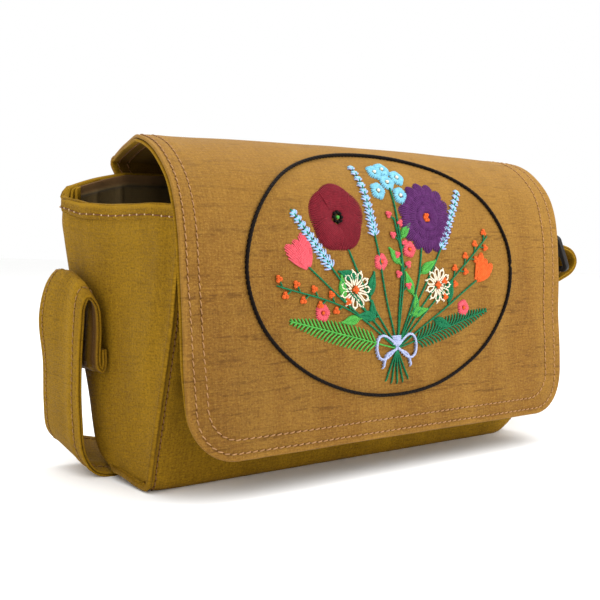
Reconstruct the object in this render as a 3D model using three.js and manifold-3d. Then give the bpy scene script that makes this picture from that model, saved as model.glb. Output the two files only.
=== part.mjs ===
// Box shoulder bag of raw silk: a wedge-sided body, a lined flap and one flat strap with a slider.
// Millimetres, +Z up. The front faces -Y, X runs along the width, and the origin is the middle of
// the base, on the surface that the bag stands on.

import * as THREE from 'three';
import { mergeVertices } from 'three/addons/utils/BufferGeometryUtils.js';
import Module from 'manifold-3d';

const wasm = await Module();
wasm.setup();

// Driving dimensions
const bodyHalfWidth = 122;
const bodyWall = 2.2;
const seamGap = 0.35;
const backRimRise = 10; // how much higher the back rim is where the flap is sewn on
const backRiseFrom = 95;
const endLift = 3; // the base curls up by this much at its two ends
const endLiftFrom = 104;
const endLiftHeight = 22;
const gussetInset = 2.7;
const gussetWall = 2;
const gussetSwell = 1.7;
const gussetRimPhase = 0.12; // how far down the swell's wave the rim lies
const liningWall = 1;
const bindingWall = 1.2;
const bindingHeight = 6.5;
const bindingDrop = 1.2;
const bindingRound = 1.2;
const flapHalfWidth = 120;
const flapBackHalfWidth = 90;
const flapRidgeY = -19;
const flapCreaseY = 58;
const flapWall = 1.6;
const flapLiningWall = 1.2;
const flapLiningLip = 0.8;
const flapCornerRadius = 22;
const strapWidth = 40;
const strapWall = 2.4;
const strapClearance = 0.05; // between the strap and the surface that it lies on
const sliderWidth = 50;
const sliderLength = 25;
const sliderWall = 3;
const sliderRail = 4;
const sliderCorner = 4;
const sliderEdge = 0.6;
const sliderTilt = THREE.MathUtils.degToRad(-64);

// How finely the cloth is divided
const wallRows = 15;
const flapColumns = 12;
const liningColumns = 6;
const bodyMiddleColumns = 5;
const gussetColumns = 8;
const bindingSteps = 10;
const flapRows = 30;
const cornerRows = 6;
const strapStepsPerStation = 3;

// Outer line of the front wall, from its rim down to the base
const frontLine = [
  { y: -46.8, z: 126.5 },
  { y: -51, z: 112 },
  { y: -52.8, z: 97 },
  { y: -50.5, z: 79 },
  { y: -45.5, z: 60 },
  { y: -40.5, z: 43 },
  { y: -35.5, z: 27 },
  { y: -29.5, z: 12 },
  { y: -25, z: 3 },
  { y: -22, z: 0 },
];

// Outer line of the back wall, from its rim down to the base, with a wide round lower corner
const backLine = [
  { y: 56.5, z: 134 },
  { y: 57, z: 124 },
  { y: 55.5, z: 113 },
  { y: 51, z: 99 },
  { y: 43.5, z: 78 },
  { y: 35.5, z: 56 },
  { y: 29, z: 38 },
  { y: 25.5, z: 24 },
  { y: 21.5, z: 12.5 },
  { y: 15, z: 4.6 },
  { y: 6, z: 0 },
];

// Outer line of the flap, from its lap on the back wall over the top to the lower edge in front
const flapLine = [
  { y: 60.7, z: 124 },
  { y: 60.7, z: 138 },
  { y: 63.4, z: 148 },
  { y: 58, z: 155 },
  { y: 38, z: 157.3 },
  { y: 8, z: 158.2 },
  { y: -19, z: 157.2 },
  { y: -31, z: 152.8 },
  { y: -41, z: 145 },
  { y: -47.5, z: 137 },
  { y: -51.3, z: 128 },
  { y: -54.8, z: 112 },
  { y: -56.6, z: 96 },
  { y: -58.4, z: 72 },
  { y: -60.2, z: 48 },
  { y: -61.6, z: 30 },
  { y: -63, z: 16 },
];

// Middle line of the strap from its left hem to its right hem; rearX and rearZ say how far the
// strap's back edge stands off its front edge
const strapLine = [
  { x: -123.7, y: 29, z: 67, rearX: 0, rearZ: 1 },
  { x: -123.7, y: 29, z: 54, rearX: 0, rearZ: 1 },
  { x: -125.25, y: 29, z: 51.2, rearX: 0, rearZ: 1 },
  { x: -126.8, y: 29, z: 54, rearX: 0, rearZ: 1 },
  { x: -126.8, y: 27.5, z: 76, rearX: 0, rearZ: 5 },
  { x: -127.2, y: 28, z: 87.5, rearX: -0.5, rearZ: 9 },
  { x: -129.4, y: 30, z: 92.6, rearX: -1.5, rearZ: 11 },
  { x: -131.8, y: 32, z: 87.5, rearX: -2.5, rearZ: 9 },
  { x: -133, y: 34, z: 74, rearX: -3.5, rearZ: 4 },
  { x: -133.4, y: 35, z: 52, rearX: -3, rearZ: 0 },
  { x: -132.4, y: 35, z: 30, rearX: -1, rearZ: 1 },
  { x: -129.6, y: 35, z: 14.5, rearX: 2, rearZ: 3 },
  { x: -125.8, y: 35, z: 6.2, rearX: 3.5, rearZ: 4 },
  { x: -119, y: 35, z: 2.1, rearX: 2.5, rearZ: 1.6 },
  { x: -96, y: 35, z: 1.3, rearX: 0, rearZ: 0 },
  { x: 0, y: 35, z: 1.3, rearX: 0, rearZ: 0 },
  { x: 94, y: 35, z: 1.3, rearX: 0, rearZ: 0 },
  { x: 120, y: 35, z: 1.5, rearX: 0, rearZ: 0 },
  { x: 127.6, y: 34, z: 5, rearX: 0, rearZ: 0 },
  { x: 133, y: 31, z: 15, rearX: 0, rearZ: 0 },
  { x: 137, y: 27, z: 32, rearX: 0, rearZ: 0 },
  { x: 142, y: 22, z: 52, rearX: 0, rearZ: 0 },
  { x: 151, y: 16, z: 69, rearX: 0, rearZ: 0 },
  { x: 166, y: 11, z: 81.5, rearX: 0, rearZ: 0 },
  { x: 182, y: 6, z: 88, rearX: 0, rearZ: 0 },
  { x: 191, y: 4, z: 93.3, rearX: 0, rearZ: 0 },
  { x: 193.6, y: 3.5, z: 99, rearX: 0, rearZ: 0 },
  { x: 190, y: 3.5, z: 104.6, rearX: 0, rearZ: 0 },
  { x: 181, y: 4, z: 108, rearX: 0, rearZ: 0 },
  { x: 160, y: 7, z: 110, rearX: 0, rearZ: 0 },
  { x: 142, y: 13, z: 110, rearX: 0, rearZ: 0 },
  { x: 131, y: 19, z: 105.5, rearX: 0, rearZ: 0 },
  { x: 126.9, y: 22, z: 95, rearX: 0, rearZ: 0 },
  { x: 126.8, y: 24, z: 76, rearX: 0, rearZ: 0 },
  { x: 126.8, y: 24, z: 54, rearX: 0, rearZ: 0 },
  { x: 125.25, y: 24, z: 51.2, rearX: 0, rearZ: 0 },
  { x: 123.7, y: 24, z: 54, rearX: 0, rearZ: 0 },
  { x: 123.7, y: 24, z: 67, rearX: 0, rearZ: 0 },
];

// Where the slider sits: the point of the strap's upper run that passes through its first slot
const sliderSeat = { x: 174.5, y: 5, z: 108.9 };

const bag = new THREE.Group();

function addPiece(name, geometry, look) {
  const mesh = new THREE.Mesh(geometry, new THREE.MeshStandardMaterial(look));
  mesh.name = name;
  bag.add(mesh);
  return mesh;
}

function fromTriangles(points, triangles) {
  const geometry = new THREE.BufferGeometry();
  geometry.setAttribute('position', new THREE.Float32BufferAttribute(points.flat(), 3));
  geometry.setIndex(triangles.flat());
  return facingOut(geometry);
}

// Turns a closed mesh inside out where its signed volume is negative
function facingOut(geometry) {
  const at = geometry.attributes.position;
  const index = geometry.index;
  const a = new THREE.Vector3();
  const b = new THREE.Vector3();
  const c = new THREE.Vector3();
  let volume = 0;
  for (let i = 0; i < index.count; i += 3) {
    a.fromBufferAttribute(at, index.getX(i));
    b.fromBufferAttribute(at, index.getX(i + 1));
    c.fromBufferAttribute(at, index.getX(i + 2));
    volume += a.dot(b.cross(c));
  }
  if (volume < 0) {
    for (let i = 0; i < index.count; i += 3) {
      const kept = index.getX(i);
      index.setX(i, index.getX(i + 1));
      index.setX(i + 1, kept);
    }
  }
  return geometry;
}

// A closed cloth wall between two grids of points, each made of rows of equal length
function wallBetween(outer, inner) {
  const rows = outer.length;
  const columns = outer[0].length;
  const points = [...outer.flat(), ...inner.flat()];
  const innerStart = rows * columns;
  const triangles = [];
  const quad = (a, b, c, d) => triangles.push([a, b, c], [a, c, d]);
  const at = (row, column) => row * columns + column;
  for (let row = 0; row < rows - 1; row += 1) {
    for (let column = 0; column < columns - 1; column += 1) {
      const corners = [at(row, column), at(row, column + 1), at(row + 1, column + 1), at(row + 1, column)];
      quad(...corners);
      quad(...corners.map((corner) => corner + innerStart).reverse());
    }
  }
  const rim = [];
  for (let column = 0; column < columns - 1; column += 1) rim.push(at(0, column));
  for (let row = 0; row < rows - 1; row += 1) rim.push(at(row, columns - 1));
  for (let column = columns - 1; column > 0; column -= 1) rim.push(at(rows - 1, column));
  for (let row = rows - 1; row > 0; row -= 1) rim.push(at(row, 0));
  rim.forEach((from, i) => {
    const to = rim[(i + 1) % rim.length];
    quad(to, from, from + innerStart, to + innerStart);
  });
  return fromTriangles(points, triangles);
}

function splineOf(line) {
  const points = line.map((row) => new THREE.Vector3(0, row.y, row.z));
  return new THREE.CatmullRomCurve3(points, false, 'centripetal');
}

// Unit normals of an open line in the YZ plane, to the left of its direction
function normalsOf(line) {
  return line.map((_, i) => {
    const from = line[Math.max(i - 1, 0)];
    const to = line[Math.min(i + 1, line.length - 1)];
    const dy = to.y - from.y;
    const dz = to.z - from.z;
    const length = Math.hypot(dy, dz);
    return { y: -dz / length, z: dy / length };
  });
}

function shifted(line, distance) {
  const normals = normalsOf(line);
  return line.map((point, i) => ({
    y: point.y + distance * normals[i].y,
    z: point.z + distance * normals[i].z,
  }));
}

const spread = (count, half) => Array.from({ length: count + 1 }, (_, i) => half * ((2 * i) / count - 1));
const smooth = (value, from, to) => THREE.MathUtils.smoothstep(value, from, to);
const mix = THREE.MathUtils.lerp;

// The body's outer line: down the front, across the base and up the back
const frontOuter = splineOf(frontLine).getSpacedPoints(wallRows);
const backOuter = splineOf(backLine).getSpacedPoints(wallRows);
const bodyOuter = [...frontOuter, ...backOuter.toReversed()];
const inwards = (distance) => shifted(bodyOuter, distance);

// The back wall rises towards the flap's seam, and the base lifts a little at its two ends
function shaped(point, x) {
  const fromMiddle = Math.abs(x);
  const nearFlap = 1 - smooth(fromMiddle, flapBackHalfWidth, bodyHalfWidth);
  const nearRim = point.y > 0 ? smooth(point.z, backRiseFrom, backLine[0].z) : 0;
  const nearEnd = Math.max(fromMiddle - endLiftFrom, 0) / (bodyHalfWidth - endLiftFrom);
  const nearBase = 1 - smooth(point.z, 0, endLiftHeight);
  return [x, point.y, point.z + backRimRise * nearFlap * nearRim + endLift * nearEnd ** 2 * nearBase];
}

function bodyStrip(outerDepth, wall, columns) {
  const grid = (depth) => inwards(depth).map((point) => columns.map((x) => shaped(point, x)));
  return wallBetween(grid(outerDepth), grid(outerDepth + wall));
}

// How far a gusset stands out, across its width and down its height, both from 0 to 1
function swellAt(across, down) {
  return Math.sin(Math.PI * across) * Math.sin(Math.PI * Math.min(down + gussetRimPhase, 1));
}

// A side wall that fills the body's outline, swelling outwards in its middle
function sideWall(side, edgeDepth, outerX, wall, swell, trimTop) {
  const edge = inwards(edgeDepth);
  const rows = edge.length / 2;
  const outer = [];
  const inner = [];
  for (let row = 0; row < rows; row += 1) {
    const front = edge[row];
    const back = edge[edge.length - 1 - row];
    const down = row / (rows - 1);
    const trim = row === 0 ? trimTop : 0;
    const across = spread(gussetColumns, 0.5).map((part) => part + 0.5);
    const wallAt = (x) => across.map((part) => {
      const flat = { y: mix(front.y, back.y, part), z: mix(front.z, back.z, part) };
      const [, y, z] = shaped(flat, outerX);
      return [side * (x + swell * swellAt(part, down)), y, z - trim];
    });
    outer.push(wallAt(outerX));
    inner.push(wallAt(outerX - wall));
  }
  return wallBetween(outer, inner);
}

function toSolid(geometry) {
  const bare = geometry.clone();
  bare.deleteAttribute('normal');
  bare.deleteAttribute('uv');
  const merged = mergeVertices(bare, 1e-4);
  return new wasm.Manifold(new wasm.Mesh({
    numProp: 3,
    vertProperties: new Float32Array(merged.attributes.position.array),
    triVerts: new Uint32Array(merged.index.array),
  }));
}

function toGeometry(solid) {
  const mesh = solid.getMesh();
  const geometry = new THREE.BufferGeometry();
  geometry.setAttribute('position', new THREE.BufferAttribute(mesh.vertProperties, 3));
  geometry.setIndex(new THREE.BufferAttribute(mesh.triVerts, 1));
  return geometry;
}

const gussetX = bodyHalfWidth - gussetInset;
const liningDepth = bodyWall + seamGap;
const liningX = gussetX - gussetWall - bindingWall - 2 * seamGap;

// The lining is a pouch: a strip like the body's, closed by a thin wall at each end
function liningPouch() {
  const sideDepth = liningDepth + liningWall / 2;
  const strip = toSolid(bodyStrip(liningDepth, liningWall, spread(liningColumns, liningX)));
  const ends = [-1, 1].map((side) => toSolid(sideWall(side, sideDepth, liningX, liningWall, 0, 0)));
  return toGeometry(strip.add(ends[0]).add(ends[1]));
}

// A folded strip over the gusset's top edge, open below, from the front wall to the back wall
function gussetBinding(side) {
  const edge = inwards(bodyWall + 2 * seamGap);
  const front = edge[0];
  const back = edge[edge.length - 1];
  const outerFace = gussetX + seamGap + bindingWall;
  const innerFace = gussetX - gussetWall - seamGap - bindingWall;
  const top = seamGap + bindingWall;
  const channel = [
    { x: outerFace, up: -bindingHeight },
    { x: outerFace, up: top - bindingRound },
    { x: outerFace - bindingRound, up: top },
    { x: innerFace + bindingRound, up: top },
    { x: innerFace, up: top - bindingRound },
    { x: innerFace, up: -bindingHeight },
    { x: innerFace + bindingWall, up: -bindingHeight },
    { x: innerFace + bindingWall, up: seamGap },
    { x: outerFace - bindingWall, up: seamGap },
    { x: outerFace - bindingWall, up: -bindingHeight },
  ];
  const rows = [];
  for (let step = 0; step <= bindingSteps; step += 1) {
    const part = step / bindingSteps;
    const swell = gussetSwell * swellAt(part, 0);
    const topZ = mix(front.z, back.z, part) - bindingDrop;
    rows.push(channel.map((corner) => [
      side * (corner.x + swell), mix(front.y, back.y, part), topZ + corner.up]));
  }
  return loft(rows, channel.map((corner) => new THREE.Vector2(corner.x, corner.up)));
}

// A closed solid through rings of points, with its two end faces cut into triangles
function loft(rings, endOutline) {
  const count = endOutline.length;
  const points = rings.flat();
  const triangles = [];
  for (let ring = 0; ring < rings.length - 1; ring += 1) {
    for (let i = 0; i < count; i += 1) {
      const next = (i + 1) % count;
      const here = ring * count;
      const there = here + count;
      triangles.push([here + i, here + next, there + next], [here + i, there + next, there + i]);
    }
  }
  const lastRing = (rings.length - 1) * count;
  THREE.ShapeUtils.triangulateShape(endOutline, []).forEach((face) => {
    const ordered = THREE.ShapeUtils.isClockWise(endOutline) ? face.toReversed() : face;
    triangles.push(ordered.toReversed());
    triangles.push(ordered.map((corner) => corner + lastRing));
  });
  return fromTriangles(points, triangles);
}

// Half width of the flap at a point of its line: narrow at the back, full from the ridge forwards,
// with round lower corners
function flapHalfWidthAt(point, toEnd, lip) {
  const towardsBack = THREE.MathUtils.clamp((point.y - flapRidgeY) / (flapCreaseY - flapRidgeY), 0, 1);
  const full = mix(flapHalfWidth, flapBackHalfWidth, towardsBack);
  if (toEnd >= flapCornerRadius) return full + lip;
  const rise = flapCornerRadius - toEnd;
  return full - flapCornerRadius + Math.sqrt(flapCornerRadius ** 2 - rise ** 2) + lip;
}

// Points of the flap's line with the length that is left to its lower edge
function flapStations() {
  const curve = splineOf(flapLine);
  curve.arcLengthDivisions = 600;
  const length = curve.getLength();
  const stations = [];
  for (let row = 0; row <= flapRows; row += 1) {
    stations.push(flapCornerRadius + (length - flapCornerRadius) * (1 - row / flapRows));
  }
  for (let row = 1; row <= cornerRows; row += 1) {
    stations.push(flapCornerRadius * (1 - Math.sin((Math.PI / 2) * (row / cornerRows))));
  }
  return stations.map((toEnd) => ({ toEnd, point: curve.getPointAt(1 - toEnd / length) }));
}

function flapLayer(depth, wall, lip) {
  const stations = flapStations();
  const line = stations.map((station) => station.point);
  const grid = (distance) => shifted(line, distance).map((point, i) => {
    const half = flapHalfWidthAt(line[i], stations[i].toEnd, lip);
    return spread(flapColumns, half).map((x) => [x, point.y, point.z]);
  });
  return wallBetween(grid(depth), grid(depth + wall));
}

// The strap's two faces, worked out from its middle line and the lean of its back edge
function strapRibbon() {
  const middle = new THREE.CatmullRomCurve3(
    strapLine.map((row) => new THREE.Vector3(row.x, row.y, row.z)), false, 'centripetal');
  const lean = new THREE.CatmullRomCurve3(
    strapLine.map((row) => new THREE.Vector3(row.rearX, strapWidth, row.rearZ)), false, 'centripetal');
  const steps = (strapLine.length - 1) * strapStepsPerStation;
  const lowest = strapWall / 2 + strapClearance;
  const faces = { outer: [], inner: [] };
  for (let step = 0; step <= steps; step += 1) {
    const along = step / steps;
    const centre = middle.getPoint(along);
    const heading = middle.getTangent(along);
    const across = lean.getPoint(along).setLength(strapWidth);
    const thick = new THREE.Vector3(-heading.z, 0, heading.x).setLength(strapWall / 2);
    centre.z = Math.max(centre.z, lowest);
    const line = [-0.5, 0, 0.5].map((part) => centre.clone().addScaledVector(across, part));
    faces.outer.push(line.map((point) => point.clone().add(thick).toArray()));
    faces.inner.push(line.map((point) => point.clone().sub(thick).toArray()));
  }
  return wallBetween(faces.outer, faces.inner);
}

function roundedRectangle(target, width, length, radius, middleY) {
  const right = width / 2;
  const top = middleY + length / 2;
  const bottom = middleY - length / 2;
  target.moveTo(-right + radius, bottom);
  target.lineTo(right - radius, bottom);
  target.absarc(right - radius, bottom + radius, radius, -Math.PI / 2, 0);
  target.lineTo(right, top - radius);
  target.absarc(right - radius, top - radius, radius, 0, Math.PI / 2);
  target.lineTo(-right + radius, top);
  target.absarc(-right + radius, top - radius, radius, Math.PI / 2, Math.PI);
  target.lineTo(-right, bottom + radius);
  target.absarc(-right + radius, bottom + radius, radius, Math.PI, 1.5 * Math.PI);
  return target;
}

// A flat frame with a middle bar; the strap runs through the slot nearer its upper end
function strapSlider() {
  const slot = (sliderLength - 3 * sliderRail) / 2;
  const slotMiddle = (slot + sliderRail) / 2;
  const frame = roundedRectangle(new THREE.Shape(), sliderWidth, sliderLength, sliderCorner, -slotMiddle);
  [0, -2 * slotMiddle].forEach((middleY) => {
    const hole = new THREE.Path();
    frame.holes.push(roundedRectangle(hole, sliderWidth - 2 * sliderRail, slot, sliderEdge, middleY));
  });
  return new THREE.ExtrudeGeometry(frame, {
    depth: sliderWall - 2 * sliderEdge,
    bevelEnabled: true,
    bevelSize: sliderEdge,
    bevelThickness: sliderEdge,
    bevelOffset: -sliderEdge,
    bevelSegments: 1,
    curveSegments: 3,
  }).translate(0, 0, sliderEdge - sliderWall / 2);
}

const silkOlive = { color: 0x94721f, roughness: 0.75, metalness: 0 };
const silkOchre = { color: 0xb0803a, roughness: 0.72, metalness: 0 };
const liningCloth = { color: 0x4a3b1c, roughness: 0.9, metalness: 0 };
const blackPlastic = { color: 0x1a1a1c, roughness: 0.45, metalness: 0 };

// Columns of the body strip, closer together where its ends curl up
const endColumns = [0, 0.35, 0.62, 0.83, 1].map((part) => mix(endLiftFrom, bodyHalfWidth, part));
const bodyColumns = [
  ...endColumns.map((x) => -x).reverse(),
  ...spread(bodyMiddleColumns, endLiftFrom).slice(1, -1),
  ...endColumns,
];
addPiece('body_panel', bodyStrip(0, bodyWall, bodyColumns), silkOlive);
[{ name: 'left', side: -1 }, { name: 'right', side: 1 }].forEach(({ name, side }) => {
  const gusset = sideWall(side, bodyWall + seamGap, gussetX, gussetWall, gussetSwell, bindingDrop);
  addPiece(`gusset_${name}`, gusset, silkOlive);
  addPiece(`gusset_binding_${name}`, gussetBinding(side), silkOlive);
});
addPiece('body_lining', liningPouch(), liningCloth);
addPiece('flap', flapLayer(0, flapWall, 0), silkOchre);
addPiece('flap_lining', flapLayer(flapWall + seamGap, flapLiningWall, flapLiningLip), silkOlive);
addPiece('strap', strapRibbon(), silkOlive);

const slider = addPiece('strap_slider', strapSlider(), blackPlastic);
slider.position.set(sliderSeat.x, sliderSeat.y, sliderSeat.z);
const sliderUp = new THREE.Vector3(-Math.cos(sliderTilt), 0, -Math.sin(sliderTilt));
const sliderAcross = new THREE.Vector3(0, 1, 0);
const sliderFace = new THREE.Vector3().crossVectors(sliderAcross, sliderUp);
slider.quaternion.setFromRotationMatrix(new THREE.Matrix4().makeBasis(sliderAcross, sliderUp, sliderFace));

export default bag;
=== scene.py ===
import math
import random
from functools import partial

import bmesh
import bpy
import numpy as np
from mathutils import Matrix, Vector


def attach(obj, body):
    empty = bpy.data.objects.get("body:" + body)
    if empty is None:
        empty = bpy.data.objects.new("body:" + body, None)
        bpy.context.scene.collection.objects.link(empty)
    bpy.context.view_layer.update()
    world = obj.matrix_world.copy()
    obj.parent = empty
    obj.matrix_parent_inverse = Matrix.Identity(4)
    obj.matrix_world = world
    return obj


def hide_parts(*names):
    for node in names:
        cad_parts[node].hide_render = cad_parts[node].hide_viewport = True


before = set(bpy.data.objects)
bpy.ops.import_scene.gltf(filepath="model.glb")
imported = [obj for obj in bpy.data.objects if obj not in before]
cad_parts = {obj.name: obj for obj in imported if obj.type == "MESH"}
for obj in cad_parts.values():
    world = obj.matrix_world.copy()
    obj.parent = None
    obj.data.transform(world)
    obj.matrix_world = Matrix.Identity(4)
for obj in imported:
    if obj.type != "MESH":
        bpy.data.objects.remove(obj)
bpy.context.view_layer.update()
mm = 0.001
fullTurn = 2 * math.pi
quarterTurn = math.pi / 2
sideNames = {-1: "Left", 1: "Right"}

# Lines that the body, flap and strap follow, in mm, as (y, z) seen from the side
bodyCut = dict(
    halfWidth=122.0, wall=2.2, seamGap=0.35,
    # the back rim rises behind the flap and falls away to the corners, and the base lifts at its ends
    rimRise=12.9, riseFrom=95.0, riseWithin=86.0, fall=0.79, fallPower=1.25,
    cornerFall=0.21, cornerDrop=1.0, rimDip=2.6, frontRaise=0.5,
    endLift=4.4, liftFrom=104.0, liftHeight=22.0, frontLift=(2.1, 0.3), backFoot=28.0,
    # the gussets turn round to the back and stand out there, and the mouth draws in at the front
    backCorner=7.0, cornerOut=2.6, cornerBack=4.6, pinch=5.5, pinchFrom=90.0, pinchPower=1.6,
    front=[(-46.8, 126.5), (-51, 112), (-52.8, 97), (-50.5, 79), (-45.5, 60), (-40.5, 43), (-35.8, 27),
           (-31.5, 12), (-29, 2.6), (-26.5, 0)],
    back=[(56.5, 134), (57, 124), (55.5, 113), (51, 99), (43.5, 78), (35.5, 56), (29, 38), (25.5, 24),
          (21.5, 12.5), (15, 4.6), (6, 0)],
)
flapCut = dict(
    halfWidth=120.0, backHalfWidth=90.0, ridgeY=-19.0, creaseY=58.0, creaseAt=27.0, corner=24.0,
    rightLow=1.5, rightRidge=6.5, leftBack=2.6,
    wall=1.6, liningWall=1.2, liningGap=0.35, liningLip=(-0.5, 0.45), seamRows=(3.5, 9.0),
    line=[(60.7, 124), (60.8, 138), (62.2, 147.8), (62.9, 152.0), (61.6, 154.6), (57, 155.9), (50, 156.5),
          (38, 157.3), (8, 158.2), (-19, 157.2), (-31, 152.8), (-41, 145), (-47.5, 137), (-51.3, 128),
          (-54.8, 112), (-56.6, 96), (-58.4, 72), (-60.2, 48), (-61.6, 30), (-62.9, 17.2)],
    # rows of topstitching, as distances in from the left, lower and right edges; nearer the left further up
    rows=[dict(left=4.5, upper=3.1, low=3.2, right=5.5, corner=18.5),
          dict(left=10.0, upper=8.5, low=9.0, right=13.0, corner=15.0)],
)
# The strap's middle line from hem to hem: x, y, z, and how far its back edge leans in x and z
strapCut = dict(
    width=40.0, wall=2.4, stitchIn=(6.0, 4.0), offFloor=0.05,
    line=[(-123.9, 28, 61, -1.2, 1), (-123.9, 28, 54, -1.2, 1), (-125.2, 28, 51.2, -1.2, 1),
          (-126.5, 28, 54, -1.2, 1), (-126.4, 27, 74, -0.6, 5), (-126.6, 27.5, 85.5, 1, 9),
          (-128.8, 29, 90.6, 2.5, 12), (-131.6, 31.5, 86, -0.5, 10), (-133.4, 34, 73, -3.5, 4),
          (-132.9, 35, 52, -0.8, 0), (-132.9, 35, 30, -0.6, 3), (-131.4, 34.5, 14.8, -1, 8),
          (-127, 33, 8.4, -2, 12), (-119, 30.5, 6.8, 0, 13), (-98, 34, 4.4, 0, 6), (-70, 35, 1.4, 0, 0),
          (0, 35, 1.3, 0, 0), (94, 35, 1.3, 0, 0), (120, 35, 1.5, 0, 0), (127.6, 34, 5, 0, 0),
          (133, 31, 15, 0, 0), (137, 27, 32, 0, 0), (142, 22, 52, 0, 0), (151, 16, 69, 0, 0),
          (166, 11, 81.5, 0, 0), (182, 6, 88, 0, 0), (191, 4, 93.3, 0, 0), (193.6, 3.5, 99, 0, 0),
          (190, 3.5, 104.6, 0, 0), (181, 4, 108, 0, 0), (160, 7, 110, 0, 0), (142, 13, 110, 0, 0),
          (131, 19, 105.5, 0, 0), (126.9, 22, 95, 0, 0), (126.8, 24, 76, 0, 0), (126.8, 24, 54, 0, 0),
          (125.25, 24, 51.2, 0, 0), (123.7, 24, 54, 0, 0), (123.7, 24, 67, 0, 0)],
)
bodyHalf = bodyCut["halfWidth"]
seamGap = bodyCut["seamGap"]


# Curves and fields
def between(a, b, t, start, end):
    return (end - t) / (end - start) * a + (t - start) / (end - start) * b


def smoothLine(points, steps=24):
    # centripetal Catmull-Rom curve; columns after the third ride along
    pts = np.array(points, float)
    pts = np.vstack([2 * pts[0] - pts[1], pts, 2 * pts[-1] - pts[-2]])
    spans = []
    for p0, p1, p2, p3 in zip(pts, pts[1:], pts[2:], pts[3:]):
        t1 = np.linalg.norm((p1 - p0)[:3]) ** 0.5
        t2 = t1 + np.linalg.norm((p2 - p1)[:3]) ** 0.5
        t3 = t2 + np.linalg.norm((p3 - p2)[:3]) ** 0.5
        t = np.linspace(t1, t2, steps, endpoint=False)[:, None]
        a1 = between(p0, p1, t, 0, t1)
        a2 = between(p1, p2, t, t1, t2)
        a3 = between(p2, p3, t, t2, t3)
        spans.append(between(between(a1, a2, t, 0, t2), between(a2, a3, t, t1, t3), t, t1, t2))
    return np.vstack(spans + [pts[-2]])


def lengthsOf(line):
    steps = np.linalg.norm(np.diff(line[:, :3], axis=0), axis=1)
    return np.concatenate([[0], np.cumsum(steps)])


def at(marks, along, line):
    return np.stack([np.interp(marks, along, line[:, i]) for i in range(line.shape[1])], -1)


def evenly(line, step):
    line = np.array(line, float)
    along = lengthsOf(line)
    marks = np.linspace(0, along[-1], max(int(round(along[-1] / step)), 2) + 1)
    return at(marks, along, line)


def edgeSpaced(length, step, edge, seam=()):
    # even steps with closer lines at both ends, where the cloth's edge rounds over and beside a seam
    near = np.concatenate([edge * np.array([0, 0.08, 0.28, 0.6, 1]), seam])
    count = max(int((length - 2 * near[-1]) / step), 2)
    inner = np.linspace(near[-1], length - near[-1], count + 1)[1:-1]
    return np.concatenate([near, inner, length - near[::-1]])


def grid(down, across):
    return np.meshgrid(down, across, indexing="ij")


def fade(value, start, end):
    t = np.clip((value - start) / (end - start), 0, 1)
    return t * t * (3 - 2 * t)


def hump(value, middle, width):
    return np.exp(-((value - middle) / width) ** 2)


def ripple(a, b, size, seed):
    # a smooth uneven field over cloth coordinates, about -1 to 1, with waves of about this size
    draw = random.Random(seed)
    total = 0
    for _ in range(7):
        turn = draw.uniform(0, fullTurn)
        wave = size * draw.uniform(0.7, 1.6)
        total = total + np.sin(fullTurn * ((a * math.cos(turn) + b * math.sin(turn)) / wave + draw.random()))
    return total / 3


def outwardsOf(face, away):
    out = np.cross(np.gradient(face, axis=1), np.gradient(face, axis=0))
    out /= np.maximum(np.linalg.norm(out, axis=2, keepdims=True), 1e-9)
    return out if (out * (face - np.array(away))).sum() > 0 else -out


# Meshes
def addObject(name, data):
    piece = bpy.data.objects.new(name, data)
    bpy.context.scene.collection.objects.link(piece)
    return piece


def evaluated(drawn):
    return bpy.data.meshes.new_from_object(drawn.evaluated_get(bpy.context.evaluated_depsgraph_get()))


def cleanMesh(mesh, gap, material):
    work = bmesh.new()
    work.from_mesh(mesh)
    bmesh.ops.remove_doubles(work, verts=work.verts, dist=gap)
    bmesh.ops.dissolve_degenerate(work, edges=work.edges, dist=1e-7)
    bmesh.ops.recalc_face_normals(work, faces=work.faces)
    work.to_mesh(mesh)
    work.free()
    mesh.polygons.foreach_set("use_smooth", [True] * len(mesh.polygons))
    mesh.materials.clear()
    mesh.materials.append(material)


def finishMesh(name, verts, faces, uv, paintedLightAndWear, material):
    # this value is below 0 where painted shade darkens the cloth and above 0 where the cloth is made paler,
    # partly as rubbed edges and partly as painted highlight
    mesh = bpy.data.meshes.new(name)
    mesh.from_pydata((np.asarray(verts) * mm).tolist(), [], [list(map(int, face)) for face in faces])
    layer = mesh.uv_layers.new(name="cloth")
    corners = np.empty(len(mesh.loops), int)
    mesh.loops.foreach_get("vertex_index", corners)
    layer.data.foreach_set("uv", (np.asarray(uv)[corners] * mm).astype(np.float32).ravel())
    field = mesh.attributes.new("paintedLightAndWear", "FLOAT", "POINT")
    field.data.foreach_set("value", np.asarray(paintedLightAndWear, np.float32))
    cleanMesh(mesh, 2e-6, material)
    return addObject(name, mesh)


def wallGrid(face, out, uv, wall, toEdge, roundOver, paintedShading=0.0):
    # a closed cloth wall behind a grid of outer points, rounded over at its edges, which are made paler,
    # partly as rub and partly as painted highlight, less any painted shading
    half = wall / 2 * np.sqrt(np.clip(1 - (1 - np.clip(toEdge / roundOver, 0, 1)) ** 2, 0, 1))[..., None]
    middle = face - out * wall / 2
    count = face.shape[0] * face.shape[1]
    index = np.arange(count).reshape(face.shape[:2])
    quads = np.stack([index[:-1, :-1], index[:-1, 1:], index[1:, 1:], index[1:, :-1]], -1).reshape(-1, 4)
    verts = np.concatenate([(middle + out * half).reshape(-1, 3), (middle - out * half).reshape(-1, 3)])
    # paler edges, partly rub and partly painted highlight, minus the painted shading
    paintedLightAndWear = np.tile((0.35 * hump(toEdge, 0, 1.6) - paintedShading).ravel(), 2)
    return verts, np.concatenate([quads, quads[:, ::-1] + count]), np.tile(uv.reshape(-1, 2), (2, 1)), paintedLightAndWear


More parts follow.
